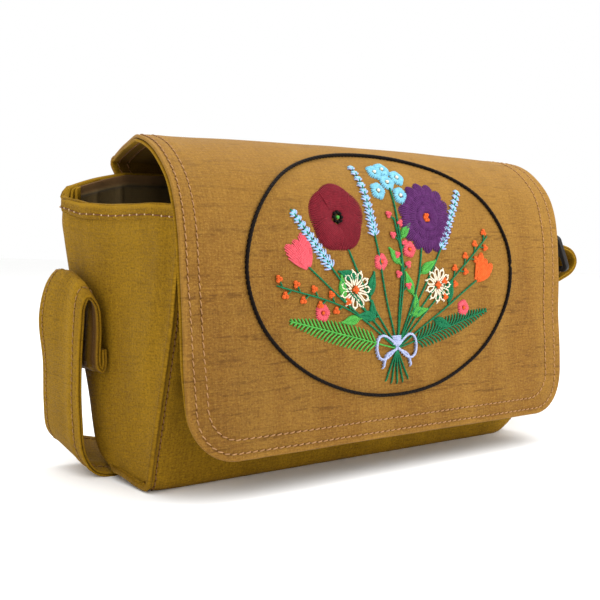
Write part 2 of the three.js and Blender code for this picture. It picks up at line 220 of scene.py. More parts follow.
def ringLoft(rings, marks, around, paintedLightAndWear):
    # a closed loft through rings of points, with a cap on each end
    rows, count = rings.shape[:2]
    index = np.arange(rows * count).reshape(rows, count)
    turned = np.roll(index, -1, axis=1)
    quads = np.stack([index[:-1], turned[:-1], turned[1:], index[1:]], -1).reshape(-1, 4).tolist()
    caps = [index[0].tolist(), index[-1][::-1].tolist()]
    uv = np.stack(grid(marks, around), -1)
    return rings.reshape(-1, 3), quads + caps, uv.reshape(-1, 2), np.broadcast_to(paintedLightAndWear, (rows, count)).ravel()


def joined(parts):
    faces, start = [], 0
    for verts, partFaces, _, _ in parts:
        faces += [[int(corner) + start for corner in face] for face in partFaces]
        start += len(verts)
    verts, uv, paintedLightAndWear = (np.concatenate([part[i] for part in parts]) for i in (0, 2, 3))
    return verts, faces, uv, paintedLightAndWear


# Materials
def linear(text):
    # sRGB hex to linear
    parts = [int(text[i:i + 2], 16) / 255 for i in (1, 3, 5)]
    return [c / 12.92 if c <= 0.04045 else ((c + 0.055) / 1.055) ** 2.4 for c in parts] + [1.0]


def feed(node, links):
    for socket, source in links.items():
        if isinstance(source, bpy.types.NodeSocket):
            node.id_data.links.new(source, node.inputs[socket])
        else:
            node.inputs[socket].default_value = source


def addNode(tree, kind, links=None, out=0, **settings):
    # adds a node and gives one of its outputs, or all of them where out is None
    node = tree.nodes.new(kind)
    for key, value in settings.items():
        setattr(node, key, value)
    feed(node, links or {})
    return node.outputs if out is None else node.outputs[out]


def newMaterial(name):
    material = bpy.data.materials.new(name)
    material.use_nodes = True
    tree = material.node_tree
    return material, partial(addNode, tree), tree.nodes["Principled BSDF"]


def clothInMm(add):
    uv = add("ShaderNodeUVMap", uv_map="cloth")
    return add("ShaderNodeVectorMath", {0: uv, "Scale": 1000.0}, operation="SCALE")


def weave(add, inMm, waves):
    # warp waves times weft waves
    warp, weft = [add("ShaderNodeTexWave", {"Vector": inMm, **wave}, "Fac", bands_direction=way)
                  for way, wave in zip("XY", waves)]
    return add("ShaderNodeMath", {0: warp, 1: weft}, operation="MULTIPLY")


def paintLightAndWear(add, colour, tones):
    # mixes the colour towards paler tones for rubbed edges and painted highlights, and towards darker tones
    # where shade is painted
    paintedLightAndWear = add("ShaderNodeAttribute", out="Fac", attribute_name="paintedLightAndWear")
    for strength, tone in tones:
        share = add("ShaderNodeMath", {0: paintedLightAndWear, 1: strength}, operation="MULTIPLY", use_clamp=True)
        colour = add("ShaderNodeMix", {0: share, 6: colour, 7: linear(tone)}, 2, data_type="RGBA")
    return colour


def dressShader(add, shader, colour, rough, relief, more):
    # rough is an uneven value and its two ends, and relief is a height, its strength and its depth
    uneven = add("ShaderNodeMapRange", dict(zip(("Value", "To Min", "To Max"), rough)))
    bump = add("ShaderNodeBump", dict(zip(("Height", "Strength", "Distance"), relief)))
    feed(shader, {"Base Color": colour, "Roughness": uneven, "Normal": bump, **more})


# Hand-woven raw silk: uneven yarns, long broken slubs along the weft and a low dry sheen
silkLooks = dict(
    # the paler tone is mixed in at rubbed edges and at painted highlights, and the darkest tone where shade
    # is painted
    rawSilkOchre=dict(base="#704a17", light="#a07a36", dark="#4c2e0f", inShade="#2e1c0a", mottle=0.3,
                      fold=0.25, yarn=0.28, warp=0.22, fleck=0.4, speck=0.36, dash=0.55, slub=0.25,
                      rubAndHighlight=0.6, paintedShading=0.9, sheen=0.04, shine=0.08),
    rawSilkOlive=dict(base="#75550b", light="#a37c1a", dark="#503708", inShade="#4a3112", mottle=0.25,
                      fold=0.35, yarn=0.28, warp=0.3, fleck=0.52, speck=0.4, dash=0.25, slub=0.12,
                      rubAndHighlight=0.3, paintedShading=0.9, sheen=0.01, shine=0.06),
)
# Layers of colour, sized in mm across and along the cloth; yarns are twice as coarse as real ones, to show
silkLayers = [
    dict(name="mottle", size=(20.0, 13.0), seed=1.9, low=0.4, high=0.7, detail=3.0, tone="dark"),
    # long soft streaks of painted light, as from shallow folds catching the light
    dict(name="fold", size=(22.0, 160.0), seed=9.4, low=0.4, high=0.68, detail=2.0, tone="light"),
    dict(name="yarn", size=(6.0, 0.9), seed=8.7, low=0.36, high=0.7, detail=2.0, tone="light"),
    dict(name="warp", size=(0.9, 9.0), seed=5.3, low=0.42, high=0.7, detail=2.0, tone="light"),
    dict(name="fleck", size=(1.1, 0.9), seed=4.2, low=0.48, high=0.68, detail=1.0, tone="dark"),
    dict(name="speck", size=(1.2, 0.8), seed=11.6, low=0.55, high=0.7, detail=1.0, tone="light"),
    dict(name="line", size=(38.0, 2.6), seed=2.3, low=0.58, high=0.68, detail=1.0, bend=0.5),
    dict(name="dash", size=(5.0, 1.6), seed=7.7, low=0.42, high=0.58, detail=3.0, tone="dark", within="line"),
    dict(name="slub", size=(11.0, 1.1), seed=3.1, low=0.6, high=0.72, detail=2.0, bend=0.3, tone="dark"),
]
silkYarn = dict(pitch=0.9, relief=dict(yarn=0.7, fleck=0.4, dash=0.8, slub=0.8))


def rawSilk(name):
    look = silkLooks[name]
    material, add, shader = newMaterial(name)
    inMm = clothInMm(add)
    colour = linear(look["base"])
    grain = {}
    for layer in silkLayers:
        across, along = layer["size"]
        placed = add("ShaderNodeMapping", {"Vector": inMm, "Location": (layer["seed"], layer["seed"] * 2, 0),
                                           "Scale": (1 / across, 1 / along, 1)})
        noise = add("ShaderNodeTexNoise", {"Vector": placed, "Scale": 1.0, "Detail": layer["detail"],
                                           "Roughness": 0.55, "Distortion": layer.get("bend", 0.0)}, "Fac")
        amount = add("ShaderNodeMapRange", {"Value": noise, "From Min": layer["low"],
                                            "From Max": layer["high"]})
        if "within" in layer:
            amount = add("ShaderNodeMath", {0: amount, 1: grain[layer["within"]]}, operation="MULTIPLY")
        grain[layer["name"]] = amount
        if "tone" in layer:
            share = add("ShaderNodeMath", {0: amount, 1: look[layer["name"]]}, operation="MULTIPLY")
            colour = add("ShaderNodeMix", {0: share, 6: colour, 7: linear(look[layer["tone"]])}, 2,
                         data_type="RGBA")
    # paler at rubbed edges and painted highlights, darker where shade is painted
    colour = paintLightAndWear(add, colour, ((look["rubAndHighlight"], look["light"]), (-look["paintedShading"], look["inShade"])))
    bands = 0.314 / silkYarn["pitch"]  # a wave texture's scale for one band a pitch
    raised = weave(add, inMm, [{"Scale": bands, "Distortion": 1.6, "Detail": 2.0, "Detail Scale": 0.35},
                               {"Scale": bands, "Distortion": 2.2, "Detail": 2.0, "Detail Scale": 0.3}])
    for part, height in silkYarn["relief"].items():
        raised = add("ShaderNodeMath", {0: grain[part], 1: height, 2: raised}, operation="MULTIPLY_ADD")
    dressShader(add, shader, colour, (grain["yarn"], 0.62, 0.85), (raised, 0.4, 0.00025),
                {"Sheen Weight": look["sheen"], "Sheen Roughness": 0.45,
                 "Specular IOR Level": look["shine"]})
    return material


# Plain woven lining cotton, dull and even
def liningCotton():
    material, add, shader = newMaterial("liningCotton")
    inMm = clothInMm(add)
    woven = weave(add, inMm, [{"Scale": 0.45, "Distortion": 1.0}] * 2)
    cloudy = add("ShaderNodeTexNoise", {"Vector": inMm, "Scale": 0.06, "Detail": 4.0}, "Fac")
    colour = add("ShaderNodeMix", {0: cloudy, 6: linear("#4a3a1a"), 7: linear("#5d4a22")}, 2,
                 data_type="RGBA")
    # paler where rubbed or made paler, and a painted shade tone where shade is painted
    colour = paintLightAndWear(add, colour, ((0.9, "#6b4a24"), (-0.9, "#1c1308")))
    dressShader(add, shader, colour, (cloudy, 0.8, 0.95), (woven, 0.4, 0.0002), {})
    return material


# Twisted thread: plies wind round it; their glints and shade are painted into the colour as short slanting
# bands, over a matching bump
def twistedThread(name, colour, dark, plyPitch, gloss):
    material, add, shader = newMaterial(name)
    along, around = [add("ShaderNodeAttribute", out="Fac", attribute_name=field)
                     for field in ("threadAlong", "threadAround")]
    turns = add("ShaderNodeMath", {0: along, 1: 1 / (plyPitch * mm), 2: around}, operation="MULTIPLY_ADD")
    phase = add("ShaderNodeMath", {0: turns, 1: 2 * fullTurn}, operation="MULTIPLY")
    ply = add("ShaderNodeMath", {0: phase}, operation="SINE")
    place = add("ShaderNodeTexCoord", out="Object")
    uneven = add("ShaderNodeTexNoise", {"Vector": place, "Scale": 700.0, "Detail": 2.0}, "Fac")
    shade = add("ShaderNodeMath", {0: ply, 1: 0.22, 2: uneven}, operation="MULTIPLY_ADD")
    mixed = add("ShaderNodeMix", {0: shade, 6: linear(dark), 7: linear(colour)}, 2, data_type="RGBA")
    dressShader(add, shader, mixed, (uneven, gloss, gloss + 0.2), (ply, 0.5, 0.0001),
                {"Sheen Weight": 0.015, "Specular IOR Level": 0.06})
    return material


# Moulded nylon: satin black with fine mould grain
def mouldedNylon():
    material, add, shader = newMaterial("mouldedNylon")
    place = add("ShaderNodeTexCoord", out="Object")
    grain = add("ShaderNodeTexNoise", {"Vector": place, "Scale": 1400.0, "Detail": 2.0}, "Fac")
    cloudy = add("ShaderNodeTexNoise", {"Vector": place, "Scale": 90.0, "Detail": 3.0}, "Fac")
    colour = add("ShaderNodeMix", {0: cloudy, 6: linear("#0f0d0c"), 7: linear("#1e1a18")}, 2,
                 data_type="RGBA")
    dressShader(add, shader, colour, (cloudy, 0.38, 0.55), (grain, 0.25, 0.00008),
                {"Specular IOR Level": 0.25})
    return material


silkOchre, silkOlive = [rawSilk(name) for name in silkLooks]
lining = liningCotton()
nylon = mouldedNylon()
print("materials made")

# The body's outer line from the front rim, under the base and up to the back rim
frontLine = evenly(smoothLine(bodyCut["front"]), 0.5)
backLine = evenly(smoothLine(bodyCut["back"]), 0.5)
bodyLine = np.vstack([frontLine, backLine[::-1]])
bodyMarks = lengthsOf(bodyLine)
bodyLength = bodyMarks[-1]
frontLength = lengthsOf(frontLine)[-1]
bodyMiddle = (0, 0, 70)


def inwards(line, depth):
    heading = np.gradient(line, axis=0)
    heading /= np.linalg.norm(heading, axis=1, keepdims=True)
    return line + depth * np.stack([-heading[:, 1], heading[:, 0]], -1)


def shaped(x, y, z):
    # the back wall rises to the flap's seam, and the base lifts at its ends, on the left most at the back
    cut = bodyCut
    fromMiddle = np.abs(x)
    past = np.clip((fromMiddle - cut["riseWithin"]) / (bodyHalf - cut["riseWithin"]), 0, 1)
    nearFlap = 1 - cut["fall"] * past ** cut["fallPower"] - cut["cornerFall"] * fade(fromMiddle, 117.8, 121)
    nearRim = fade(y, 20, 50) * fade(z, cut["riseFrom"], cut["back"][0][1])
    nearEnd = np.clip(fromMiddle - cut["liftFrom"], 0, None) / (bodyHalf - cut["liftFrom"])
    nearBase = 1 - fade(z, 0, cut["liftHeight"])
    atFront = np.where(np.asarray(x) > 0, *cut["frontLift"])
    lift = cut["endLift"] * (atFront + (1 - atFront) * fade(y, -24, 2))
    drop = cut["cornerDrop"] * fade(fromMiddle, 117.5, 122) * fade(y, 36, 56) * nearRim
    return z + cut["rimRise"] * nearFlap * nearRim - drop + lift * nearEnd ** 2 * nearBase


def rimDip(part):
    # the side rims stay low along the gusset and rise near the back corner, and a little at the front
    dip = bodyCut["rimDip"] * (fade(part, 0.05, 0.6) - fade(part, 0.7, 1))
    return dip - bodyCut["frontRaise"] * (1 - fade(part, 0, 0.5))


# Sizes of the gussets, which the body's ends are fitted to
gussetLook = dict(inset=2.7, wall=2.0, height=128.0, rimDrop=1.2, swell=1.7, rimPhase=0.12, edge=0.8,
                  rows=58, columns=48, creaseIn=15.0, crease=0.5, valley=1.3, pucker=0.3, sag=0.6,
                  puff=1.2, seam=0.9)
gussetX = bodyHalf - gussetLook["inset"]

# Body panel: one strip from rim to rim whose front and lower ends stand out as a seam ridge
bodyPanelLook = dict(step=2.6, edge=1.1, ridge=0.65, ditch=0.4, ditchAt=2.2, groove=0.5, grooveAt=3.8,
                     pucker=0.22, sag=0.7, backSlack=0.3,
                     seam=(1.6, 2.0, 2.4, 2.8, 3.3, 3.8, 4.3, 4.9, 5.8, 7.2))


def pinchAt(y, z):
    return np.where(y < 0, bodyCut["pinch"] * fade(z, bodyCut["pinchFrom"], bodyCut["front"][0][1]), 0)


def backStandsOut(x):
    return bodyCut["cornerBack"] * fade(np.abs(x), 60, gussetX - 6)


def bodyFace(s, x):
    look = bodyPanelLook
    place = at(s, bodyMarks, bodyLine)
    y, z = place[..., 0], place[..., 1]
    atBack = fade(s, frontLength + 26, frontLength + 60)
    backIn = gussetLook["inset"] + bodyCut["backCorner"] - bodyCut["cornerOut"] + look["backSlack"]
    bent = x / bodyHalf * (bodyHalf - pinchAt(y, z) - backIn * atBack)
    y = y + atBack * backStandsOut(bent)
    face = np.stack([bent, y, shaped(bent, y, z)], -1)
    out = outwardsOf(face, bodyMiddle)
    fromEnd = bodyHalf - np.abs(x)
    lift = look["ridge"] * hump(fromEnd, 1.0, 0.8) - look["ditch"] * hump(fromEnd, look["ditchAt"], 0.5)
    lift = (lift - look["groove"] * hump(fromEnd, look["grooveAt"], 0.9)) * (1 - 0.8 * atBack)
    lift = lift + look["pucker"] * (0.6 + ripple(s, x * 0.2, 9, 4)) * hump(fromEnd, 6.5, 3.2)
    lift = lift + fade(z, 1, 14) * look["sag"] * ripple(x, s, 80, 2) * fade(fromEnd, 3, 25)
    return face + out * lift[..., None], out


def bodyPanel():
    look = bodyPanelLook
    s, x = grid(edgeSpaced(bodyLength, look["step"], look["edge"]),
                edgeSpaced(2 * bodyHalf, look["step"], look["edge"], look["seam"]) - bodyHalf)
    face, out = bodyFace(s, x)
    fromEnd = bodyHalf - np.abs(x)
    toEdge = np.minimum(np.minimum(s, bodyLength - s), fromEnd)
    # painted shade in the ditch beside the seam and along the panel's edge at the seam
    paintedShading = 0.6 * hump(fromEnd, look["ditchAt"], 0.5) + 0.6 * hump(fromEnd, 0, 0.5)
    part = wallGrid(face, out, np.stack([x, s], -1), bodyCut["wall"], toEdge, look["edge"], paintedShading)
    return finishMesh("bodyPanel", *part, silkOlive)


body = bodyPanel()
print("body panel", len(body.data.polygons), "faces")


# Gussets: wedge-shaped side walls, slightly swollen, with a soft crease beside the front seam
def swellAt(part, down):
    return np.sin(math.pi * part) * np.sin(math.pi * np.minimum(down + gussetLook["rimPhase"], 1))


def sideGrid(frontDepth, backDepth, rows, columns):
    # points between the front and back walls, as fractions down and across, with the width in mm
    down = edgeSpaced(1, 1 / rows, gussetLook["edge"] / frontLength)
    part = edgeSpaced(1, 1 / columns, 0.01)
    backRun = bodyLength - frontLength - bodyCut["backFoot"]
    front = at(down * frontLength, bodyMarks, inwards(bodyLine, frontDepth))[:, None]
    back = at(bodyLength - down * backRun, bodyMarks, inwards(bodyLine, backDepth))[:, None]
    width = np.linalg.norm(back - front, axis=2)
    return down[:, None], part[None], front, back, width


def pinchIn(front, part):
    return pinchAt(front[..., 0], front[..., 1]) * (1 - part) ** bodyCut["pinchPower"]


def gusset(side):
    look = gussetLook
    down, part, front, back, width = sideGrid(bodyCut["wall"] + seamGap, 0.0, look["rows"], look["columns"])
    low = down * look["height"]
    aboveFoot = 1 - fade(down, 0.78, 0.97)
    radius = 0.4 + (bodyCut["backCorner"] - 0.4) * aboveFoot
    fromFront, fromBack = part * width, (1 - part) * width
    seam = np.minimum(fromFront, fromBack)
    turn = np.clip(1 - fromBack / radius, 0, 1) * quarterTurn  # round the back corner
    longer = width + bodyCut["cornerBack"] * (1 - fade(down, 0.85, 1))
    straight = fromFront * (longer - radius) / (width - radius)
    reach = np.where(turn > 0, longer - radius + radius * np.sin(turn), straight)
    place = front + (back - front) * (reach / width)[..., None]
    y, z = place[..., 0], place[..., 1]
    swell = look["swell"] * swellAt(part, down) - radius * (1 - np.cos(turn))
    swell = swell + bodyCut["cornerOut"] * fade(part, 0.4, 0.9) * aboveFoot - pinchIn(front, part)
    upper = (1 - fade(down, 0.3, 0.9)) * fade(low, 5.5, 12)
    swell = swell + look["crease"] * hump(fromFront, look["creaseIn"], 3.5) * upper
    swell = swell - look["valley"] * hump(fromFront, look["creaseIn"] * 0.45, 5.0) * (0.3 + 0.7 * upper)
    swell = swell + look["pucker"] * ripple(low, part * 4, 8, 11 + side) * hump(fromFront, 3.5, 3.0)
    loose = fade(np.minimum(seam, low - 4), 2, 18)
    swell = swell + look["sag"] * ripple(part * 90, low, 46, 21 + side) * loose
    swell = swell + look["puff"] * hump(low, 11, 4.5) * fade(seam, 0, 12)
    x = side * (gussetX + swell - look["seam"] * hump(fromFront, 0, 1.8))
    dip = rimDip(np.clip(reach / width, 0, 1)) * (1 - fade(down, 0, 0.3))
    face = np.stack([x, y, shaped(x, y, z) - dip - look["rimDrop"] * (down == 0)], -1)
    toEdge = np.minimum(seam, np.minimum(down, 1 - down) * look["height"])
    uv = np.stack([fromFront - width / 2, 0 * part - low], -1)
    # painted shade along the front seam, and a painted highlight on the puff under the rim's stitching
    paintedShading = 0.8 * hump(fromFront, 0, 1.4) - 0.4 * hump(low, 12, 7)
    wall = wallGrid(face, outwardsOf(face, bodyMiddle), uv, look["wall"], toEdge, look["edge"], paintedShading)
    return finishMesh("gusset" + sideNames[side], *wall, silkOlive)


gussets = {side: gusset(side) for side in sideNames}
print("gussets done")

# Binding: a folded strip over each gusset's rim and round to the flap, with pleats in the back corner
bindingLook = dict(wall=0.8, innerWall=0.5, height=6.2, innerHeight=2.6, drop=1.2, wave=0.3, stitchUp=2.4,
                   wander=0.25, foldTopHighlight=2.2, backTo=86.0, pleatHeight=9.0, pleatRun=14.0,
                   pleats=[dict(inset=3.7, drop=0.6, wall=1.3, toX=112.4),
                           dict(inset=6.2, drop=1.0, wall=1.6, toX=112.9)])


def rimFrames(side, step):
    # the rim's outer line from the front, round the back corner and along the back, and its way outwards
    radius = bodyCut["backCorner"]
    front = inwards(bodyLine, bodyCut["wall"] + 2 * seamGap)[0]
    back = bodyLine[-1] + np.array([bodyCut["cornerBack"], 0])
    part = np.linspace(0, 1, 60)
    y = front[0] + (back[0] - radius - front[0]) * part
    x = gussetX + gussetLook["swell"] * swellAt(part * 0.92, 0) * (1 - part ** 6)
    x = x - bodyCut["pinch"] * (1 - part) ** bodyCut["pinchPower"]
    x = x + bodyCut["cornerOut"] * fade(part, 0.4, 0.9)
    turn = np.linspace(0, quarterTurn, 16)[1:]
    middle = gussetX + bodyCut["cornerOut"] - radius
    along = np.linspace(middle - 1, bindingLook["backTo"], 26)
    x = np.concatenate([x, middle + radius * np.cos(turn), along])
    y = np.concatenate([y, back[0] - radius + radius * np.sin(turn), bodyLine[-1][0] + backStandsOut(along)])
    rise = np.clip((y - front[0]) / (back[0] - front[0]), 0, 1)
    z = front[1] + (back[1] - front[1]) * rise - rimDip(rise)
    z = np.where(y > 20, shaped(x, y, z), z) - bindingLook["drop"]
    line = evenly(np.column_stack([x * side, y, z]), step)
    heading = np.gradient(line, axis=0)
    out = np.column_stack([heading[:, 1], -heading[:, 0], np.zeros(len(line))]) * side
    out /= np.linalg.norm(out, axis=1, keepdims=True)
    marks = lengthsOf(line)
    line = line + out * (bindingLook["wave"] * ripple(marks, marks * 0, 26, 31 + side))[:, None]
    line[:, 2] += bindingLook["wave"] * ripple(marks, marks * 0, 34, 41 + side)
    return line, out, marks


def bindingProfile():
    # outer side up, over the top and a little way down the inner side, then back up the inside of the fold
    look = bindingLook
    high, low = -look["height"], -look["innerHeight"]
    outside = seamGap + look["wall"]
    inside = -gussetLook["wall"] - look["innerWall"]
    middle, reach = (outside + inside) / 2, (outside - inside) / 2
    outer = [(outside - 0.75, high), (outside - 0.15, high + 0.35), (outside + 0.1, high + 1.4),
             (outside + 0.12, -3), (outside + 0.12, -1.2)]
    over = [(middle + reach * math.cos(t), 0.1 + 1.5 * math.sin(t) ** 0.8)
            for t in np.linspace(0, math.pi, 11)]
    inner = [(inside - 0.1, -1), (inside, low + 0.3), (inside + 0.3, low)]
    wall = -gussetLook["wall"] - 0.05
    hollow = [(wall, low), (wall, -0.1), (seamGap, -0.1), (seamGap, high)]
    return np.array(outer + over + inner + hollow)


def pleatPart(side, pleat):
    # one folded layer that follows the back corner inside the rim
    line, out, marks = rimFrames(side, 0.8)
    turnsAt = bodyLine[-1][0] + bodyCut["cornerBack"] - bodyCut["backCorner"]
    inner = line - out * pleat["inset"]
    keep = (line[:, 1] > turnsAt - bindingLook["pleatRun"]) & (np.abs(inner[:, 0]) > pleat["toX"])
    fold = [(math.cos(a), math.sin(a) * pleat["wall"] / 2) for a in np.linspace(0, math.pi, 9)]
    shape = np.array(fold + [(-1, -bindingLook["pleatHeight"]), (1, -bindingLook["pleatHeight"])])
    rings = inner[keep][:, None] + out[keep][:, None] * shape[None, :, :1] * pleat["wall"] / 2
    rings[..., 2] += shape[None, :, 1] - pleat["drop"]
    # painted highlight, partly rub, along the top of each pleat's fold
    foldTopHighlight = bindingLook["foldTopHighlight"] * hump(shape[:, 1], 1, 0.8)
    return ringLoft(rings, marks[keep], np.arange(len(shape)) * 1.0, foldTopHighlight)


def binding(side):
    line, out, marks = rimFrames(side, 1.5)
    profile = bindingProfile()
    rings = line[:, None] + out[:, None] * profile[None, :, :1]
    rings[..., 2] += profile[None, :, 1]
    # painted highlight, partly rub, along the rounded top of the binding's fold
    foldTopHighlight = bindingLook["foldTopHighlight"] * hump(profile[:, 1], 0.5, 0.9)
    parts = [ringLoft(rings, marks, lengthsOf(profile), foldTopHighlight)]
    parts += [pleatPart(side, pleat) for pleat in bindingLook["pleats"]]
    return finishMesh("binding" + sideNames[side], *joined(parts), silkOlive)


bindings = {side: binding(side) for side in sideNames}
print("bindings done")

# Lining: a pouch just inside the body, with loose upright folds
liningLook = dict(wall=1.0, edge=0.45, step=4.0, fold=1.0, foldWidth=17.0, facing=5.4, proud=1.0, drop=1.2,
                  creases=(-103.6, -90.7, 99.0), crease=1.3, backIn=2.6, sideDrop=2.2)
liningX = gussetX - gussetLook["wall"] - bindingLook["wall"] - 3 * seamGap


def liningStrip(depth):
    look = liningLook
    s, x = grid(edgeSpaced(bodyLength, look["step"], look["edge"], np.arange(1.5, 15, 0.9)),
                edgeSpaced(2 * liningX, look["step"], look["edge"], np.arange(1.5, 30, 1.2)) - liningX)
    place = at(s, bodyMarks, inwards(bodyLine, depth))
    y, z = place[..., 0], place[..., 1]
    atBack = fade(s, frontLength + 4, frontLength + 36)
    bent = x / liningX * (liningX - pinchAt(y, z) - look["backIn"] * atBack)
    y = y + atBack * backStandsOut(bent)
    toRim = bodyLength - s
    face = np.stack([bent, y, shaped(bent, y, z) - look["drop"] * (1 - fade(toRim, 0, 6))], -1)
    out = outwardsOf(face, bodyMiddle)
    fromSide = liningX - np.abs(x)
    loose = look["fold"] * (1 + ripple(x, s * 0.12, look["foldWidth"], 51)) * fade(z, 10, 60)
    crease = sum(look["crease"] * hump(bent, middle, 1.0) for middle in look["creases"])
    below = fade(toRim, look["facing"] - 0.7, look["facing"] + 0.7)  # under a facing sewn inside the back rim
    loose = loose * fade(fromSide, 0, 20)
    loose = loose + atBack * below * (look["proud"] + crease * (1 - fade(toRim, 20, 34)))
    face = face - out * np.clip(loose, 0, None)[..., None]
    toEdge = np.minimum(np.minimum(s, toRim), fromSide)
    # painted shade in a line just under the facing's edge inside the back; the facing band above it is made
    # paler
    paintedShading = atBack * (0.8 * hump(toRim, look["facing"] + 0.6, 0.8) - 0.7 * (1 - below))
    return wallGrid(face, out, np.stack([x, s], -1), look["wall"], toEdge, look["edge"], paintedShading)


def liningSide(side, depth):
    look = liningLook
    down, part, front, back, width = sideGrid(depth, depth, 30, 22)
    place = front + (back - front) * part[..., None]
    y = place[..., 0] + bodyCut["cornerBack"] * part ** 3 * (1 - fade(down, 0.85, 1))
    x = liningX - pinchIn(front, part)
    dip = (rimDip(part) + look["sideDrop"]) * (1 - fade(down, 0, 0.3))
    face = np.stack([side * x, y, shaped(side * bodyHalf + 0 * x, y, place[..., 1]) - dip], -1)
    height = gussetLook["height"]
    toEdge = np.minimum(np.minimum(part, 1 - part) * width, np.minimum(down, 1 - down) * height)
    uv = np.stack([part * width, down * height + 0 * part], -1)
    return wallGrid(face, outwardsOf(face, bodyMiddle), uv, look["wall"], toEdge, look["edge"])


def liningPouch():
    depth = bodyCut["wall"] + seamGap
    parts = [liningStrip(depth)] + [liningSide(side, depth + liningLook["wall"] / 2) for side in sideNames]
    return finishMesh("bodyLining", *joined(parts), lining)


pouch = liningPouch()
print("lining done")

# Flap: ochre silk over an olive lining, quilted a little by its two rows of topstitching
flapLook = dict(step=2.0, edge=0.8, groove=0.4, pad=0.18, sag=0.55, crumple=0.28, crown=1.7, topLightShare=0.6,
                lowLeftShade=0.18, middle=(0, 0, 90))
flapRun = evenly(smoothLine(flapCut["line"]), 0.5)
flapMarks = lengthsOf(flapRun)
flapLength = flapMarks[-1]
flapHeading = np.gradient(flapRun, axis=0)
flapHeading /= np.linalg.norm(flapHeading, axis=1, keepdims=True)
flapOut = np.stack([flapHeading[:, 1], -flapHeading[:, 0]], -1)


def flapFullWidth(toEnd, right):
    # from the middle to the left or right edge; the right is cut fuller over the ridge and the left behind it
    cut = flapCut
    y = np.interp(flapLength - toEnd, flapMarks, flapRun[:, 0])
    back = np.clip((y - cut["ridgeY"]) / (cut["creaseY"] - cut["ridgeY"]), 0, 1)
    full = cut["halfWidth"] + (cut["backHalfWidth"] - cut["halfWidth"]) * back
    fuller = cut["rightLow"] + (cut["rightRidge"] - cut["rightLow"]) * fade(toEnd, 15, 130)
    fromCrease = toEnd - flapLength + cut["creaseAt"]
    behind = cut["leftBack"] * hump(fromCrease, 0, np.where(fromCrease > 0, 5, 30))
    return full + np.where(right, fuller * (1 - fade(toEnd, 190, 235)), behind)


def flapHalfWidth(toEnd, right):
    corner = flapCut["corner"]
    rise = np.clip(corner - toEnd, 0, None)
    return flapFullWidth(toEnd, right) - corner + np.sqrt(np.clip(corner ** 2 - rise ** 2, 0, None))


def rowLeft(row, toEnd):
    return row["left"] + (row["upper"] - row["left"]) * fade(toEnd, 25, 90)


def rowDistance(u, toEnd, row):
    left = rowLeft(row, toEnd) + row["corner"] - flapFullWidth(toEnd, False) - u
    right = u - flapFullWidth(toEnd, True) + row["right"] + row["corner"]
    beside = np.maximum(left, right)
    below = row["low"] + row["corner"] - toEnd
    outside = np.hypot(np.clip(beside, 0, None), np.clip(below, 0, None))
    return outside + np.minimum(np.maximum(beside, below), 0) - row["corner"]


def flapRelief(u, toEnd, quilted=True):
    look = flapLook
    free = 1 - 0.75 * fade(toEnd, 115, 145)  # the top lies flatter than the front, and is crowned
    onTop = fade(toEnd, 95, 150) * (1 - fade(toEnd, 205, 245))
    lift = look["crown"] * np.cos(np.clip(u / 250, -0.5, 0.5) * math.pi) * onTop
    lift = lift + look["sag"] * ripple(u, toEnd, 95, 61) * free
    lift = lift + look["crumple"] * ripple(u, toEnd, 34, 62) * free
    for row in flapCut["rows"] if quilted else ():
        gap = rowDistance(u, toEnd, row)
        lift = lift - look["groove"] * hump(gap, 0, 0.9) + look["pad"] * hump(gap, -3.0, 1.6)
    return lift


def flapPlace(u, toEnd, height, quilted=True):
    # a point on the flap: across it, up from its lower edge along the cloth, and off its face
    marks = flapLength - toEnd
    out = at(marks, flapMarks, flapOut)
    place = at(marks, flapMarks, flapRun) + out * (height + flapRelief(u, toEnd, quilted))[..., None]
    return np.stack([u, place[..., 0], place[..., 1]], -1)


def flapLayer(name, depth, wall, lips, inShade, material, quilted):
    # lips are how far the layer stands out past the flap's edge, at its foot and over the top
    look, corner = flapLook, flapCut["corner"]
    toEnd = flapLength - edgeSpaced(flapLength, look["step"], look["edge"])
    inCurve = corner * (1 - np.sin(np.linspace(0, quarterTurn, 22)))
    toEnd = np.concatenate([toEnd[toEnd > corner + 0.5], inCurve])
    half = flapCut["halfWidth"]
    toEnd, a = grid(toEnd, edgeSpaced(2, look["step"] / half, look["edge"] / half) - 1)
    lip = lips[0] + (lips[1] - lips[0]) * fade(toEnd, 18, 45)
    reach = flapHalfWidth(toEnd, a > 0) + lip
    u = a * reach
    grown = toEnd - lip * (1 - fade(toEnd, 0, 30))
    face = flapPlace(u, np.clip(grown, 0, None), -depth, quilted)
    face[..., 2] += np.minimum(grown, 0)  # the lip hangs below the flap's lower edge
    flat = flapFullWidth(toEnd, a > 0) + lip - corner
    inCorner = corner - np.hypot(np.clip(np.abs(u) - flat, 0, None), np.clip(corner - toEnd, 0, None))
    edge = np.where(toEnd < corner, inCorner, reach - np.abs(u))
    toEdge = np.clip(np.minimum(np.minimum(edge, toEnd), flapLength - toEnd), 0, None)
    # painted light: the top is made paler where light falls on it, and the lower left corner darker with
    # painted shade
    lowLeftShade = look["lowLeftShade"] * (1 - fade(toEnd, 10, 110)) * (1 - fade(u, -110, 0))
    paintedTopLight = look["topLightShare"] * fade(toEnd, 60, 180) * (1 - 0.6 * fade(toEnd, 220, 245))
    paintedShading = inShade * fade(toEdge, 1, 6) + lowLeftShade - paintedTopLight
    out = outwardsOf(face, look["middle"])
    part = wallGrid(face, out, np.stack([u, toEnd], -1), wall, toEdge, look["edge"], paintedShading)
    return finishMesh(name, *part, material)


flap = flapLayer("flapSilk", 0.0, flapCut["wall"], (0.0, 0.0), 0.0, silkOchre, True)
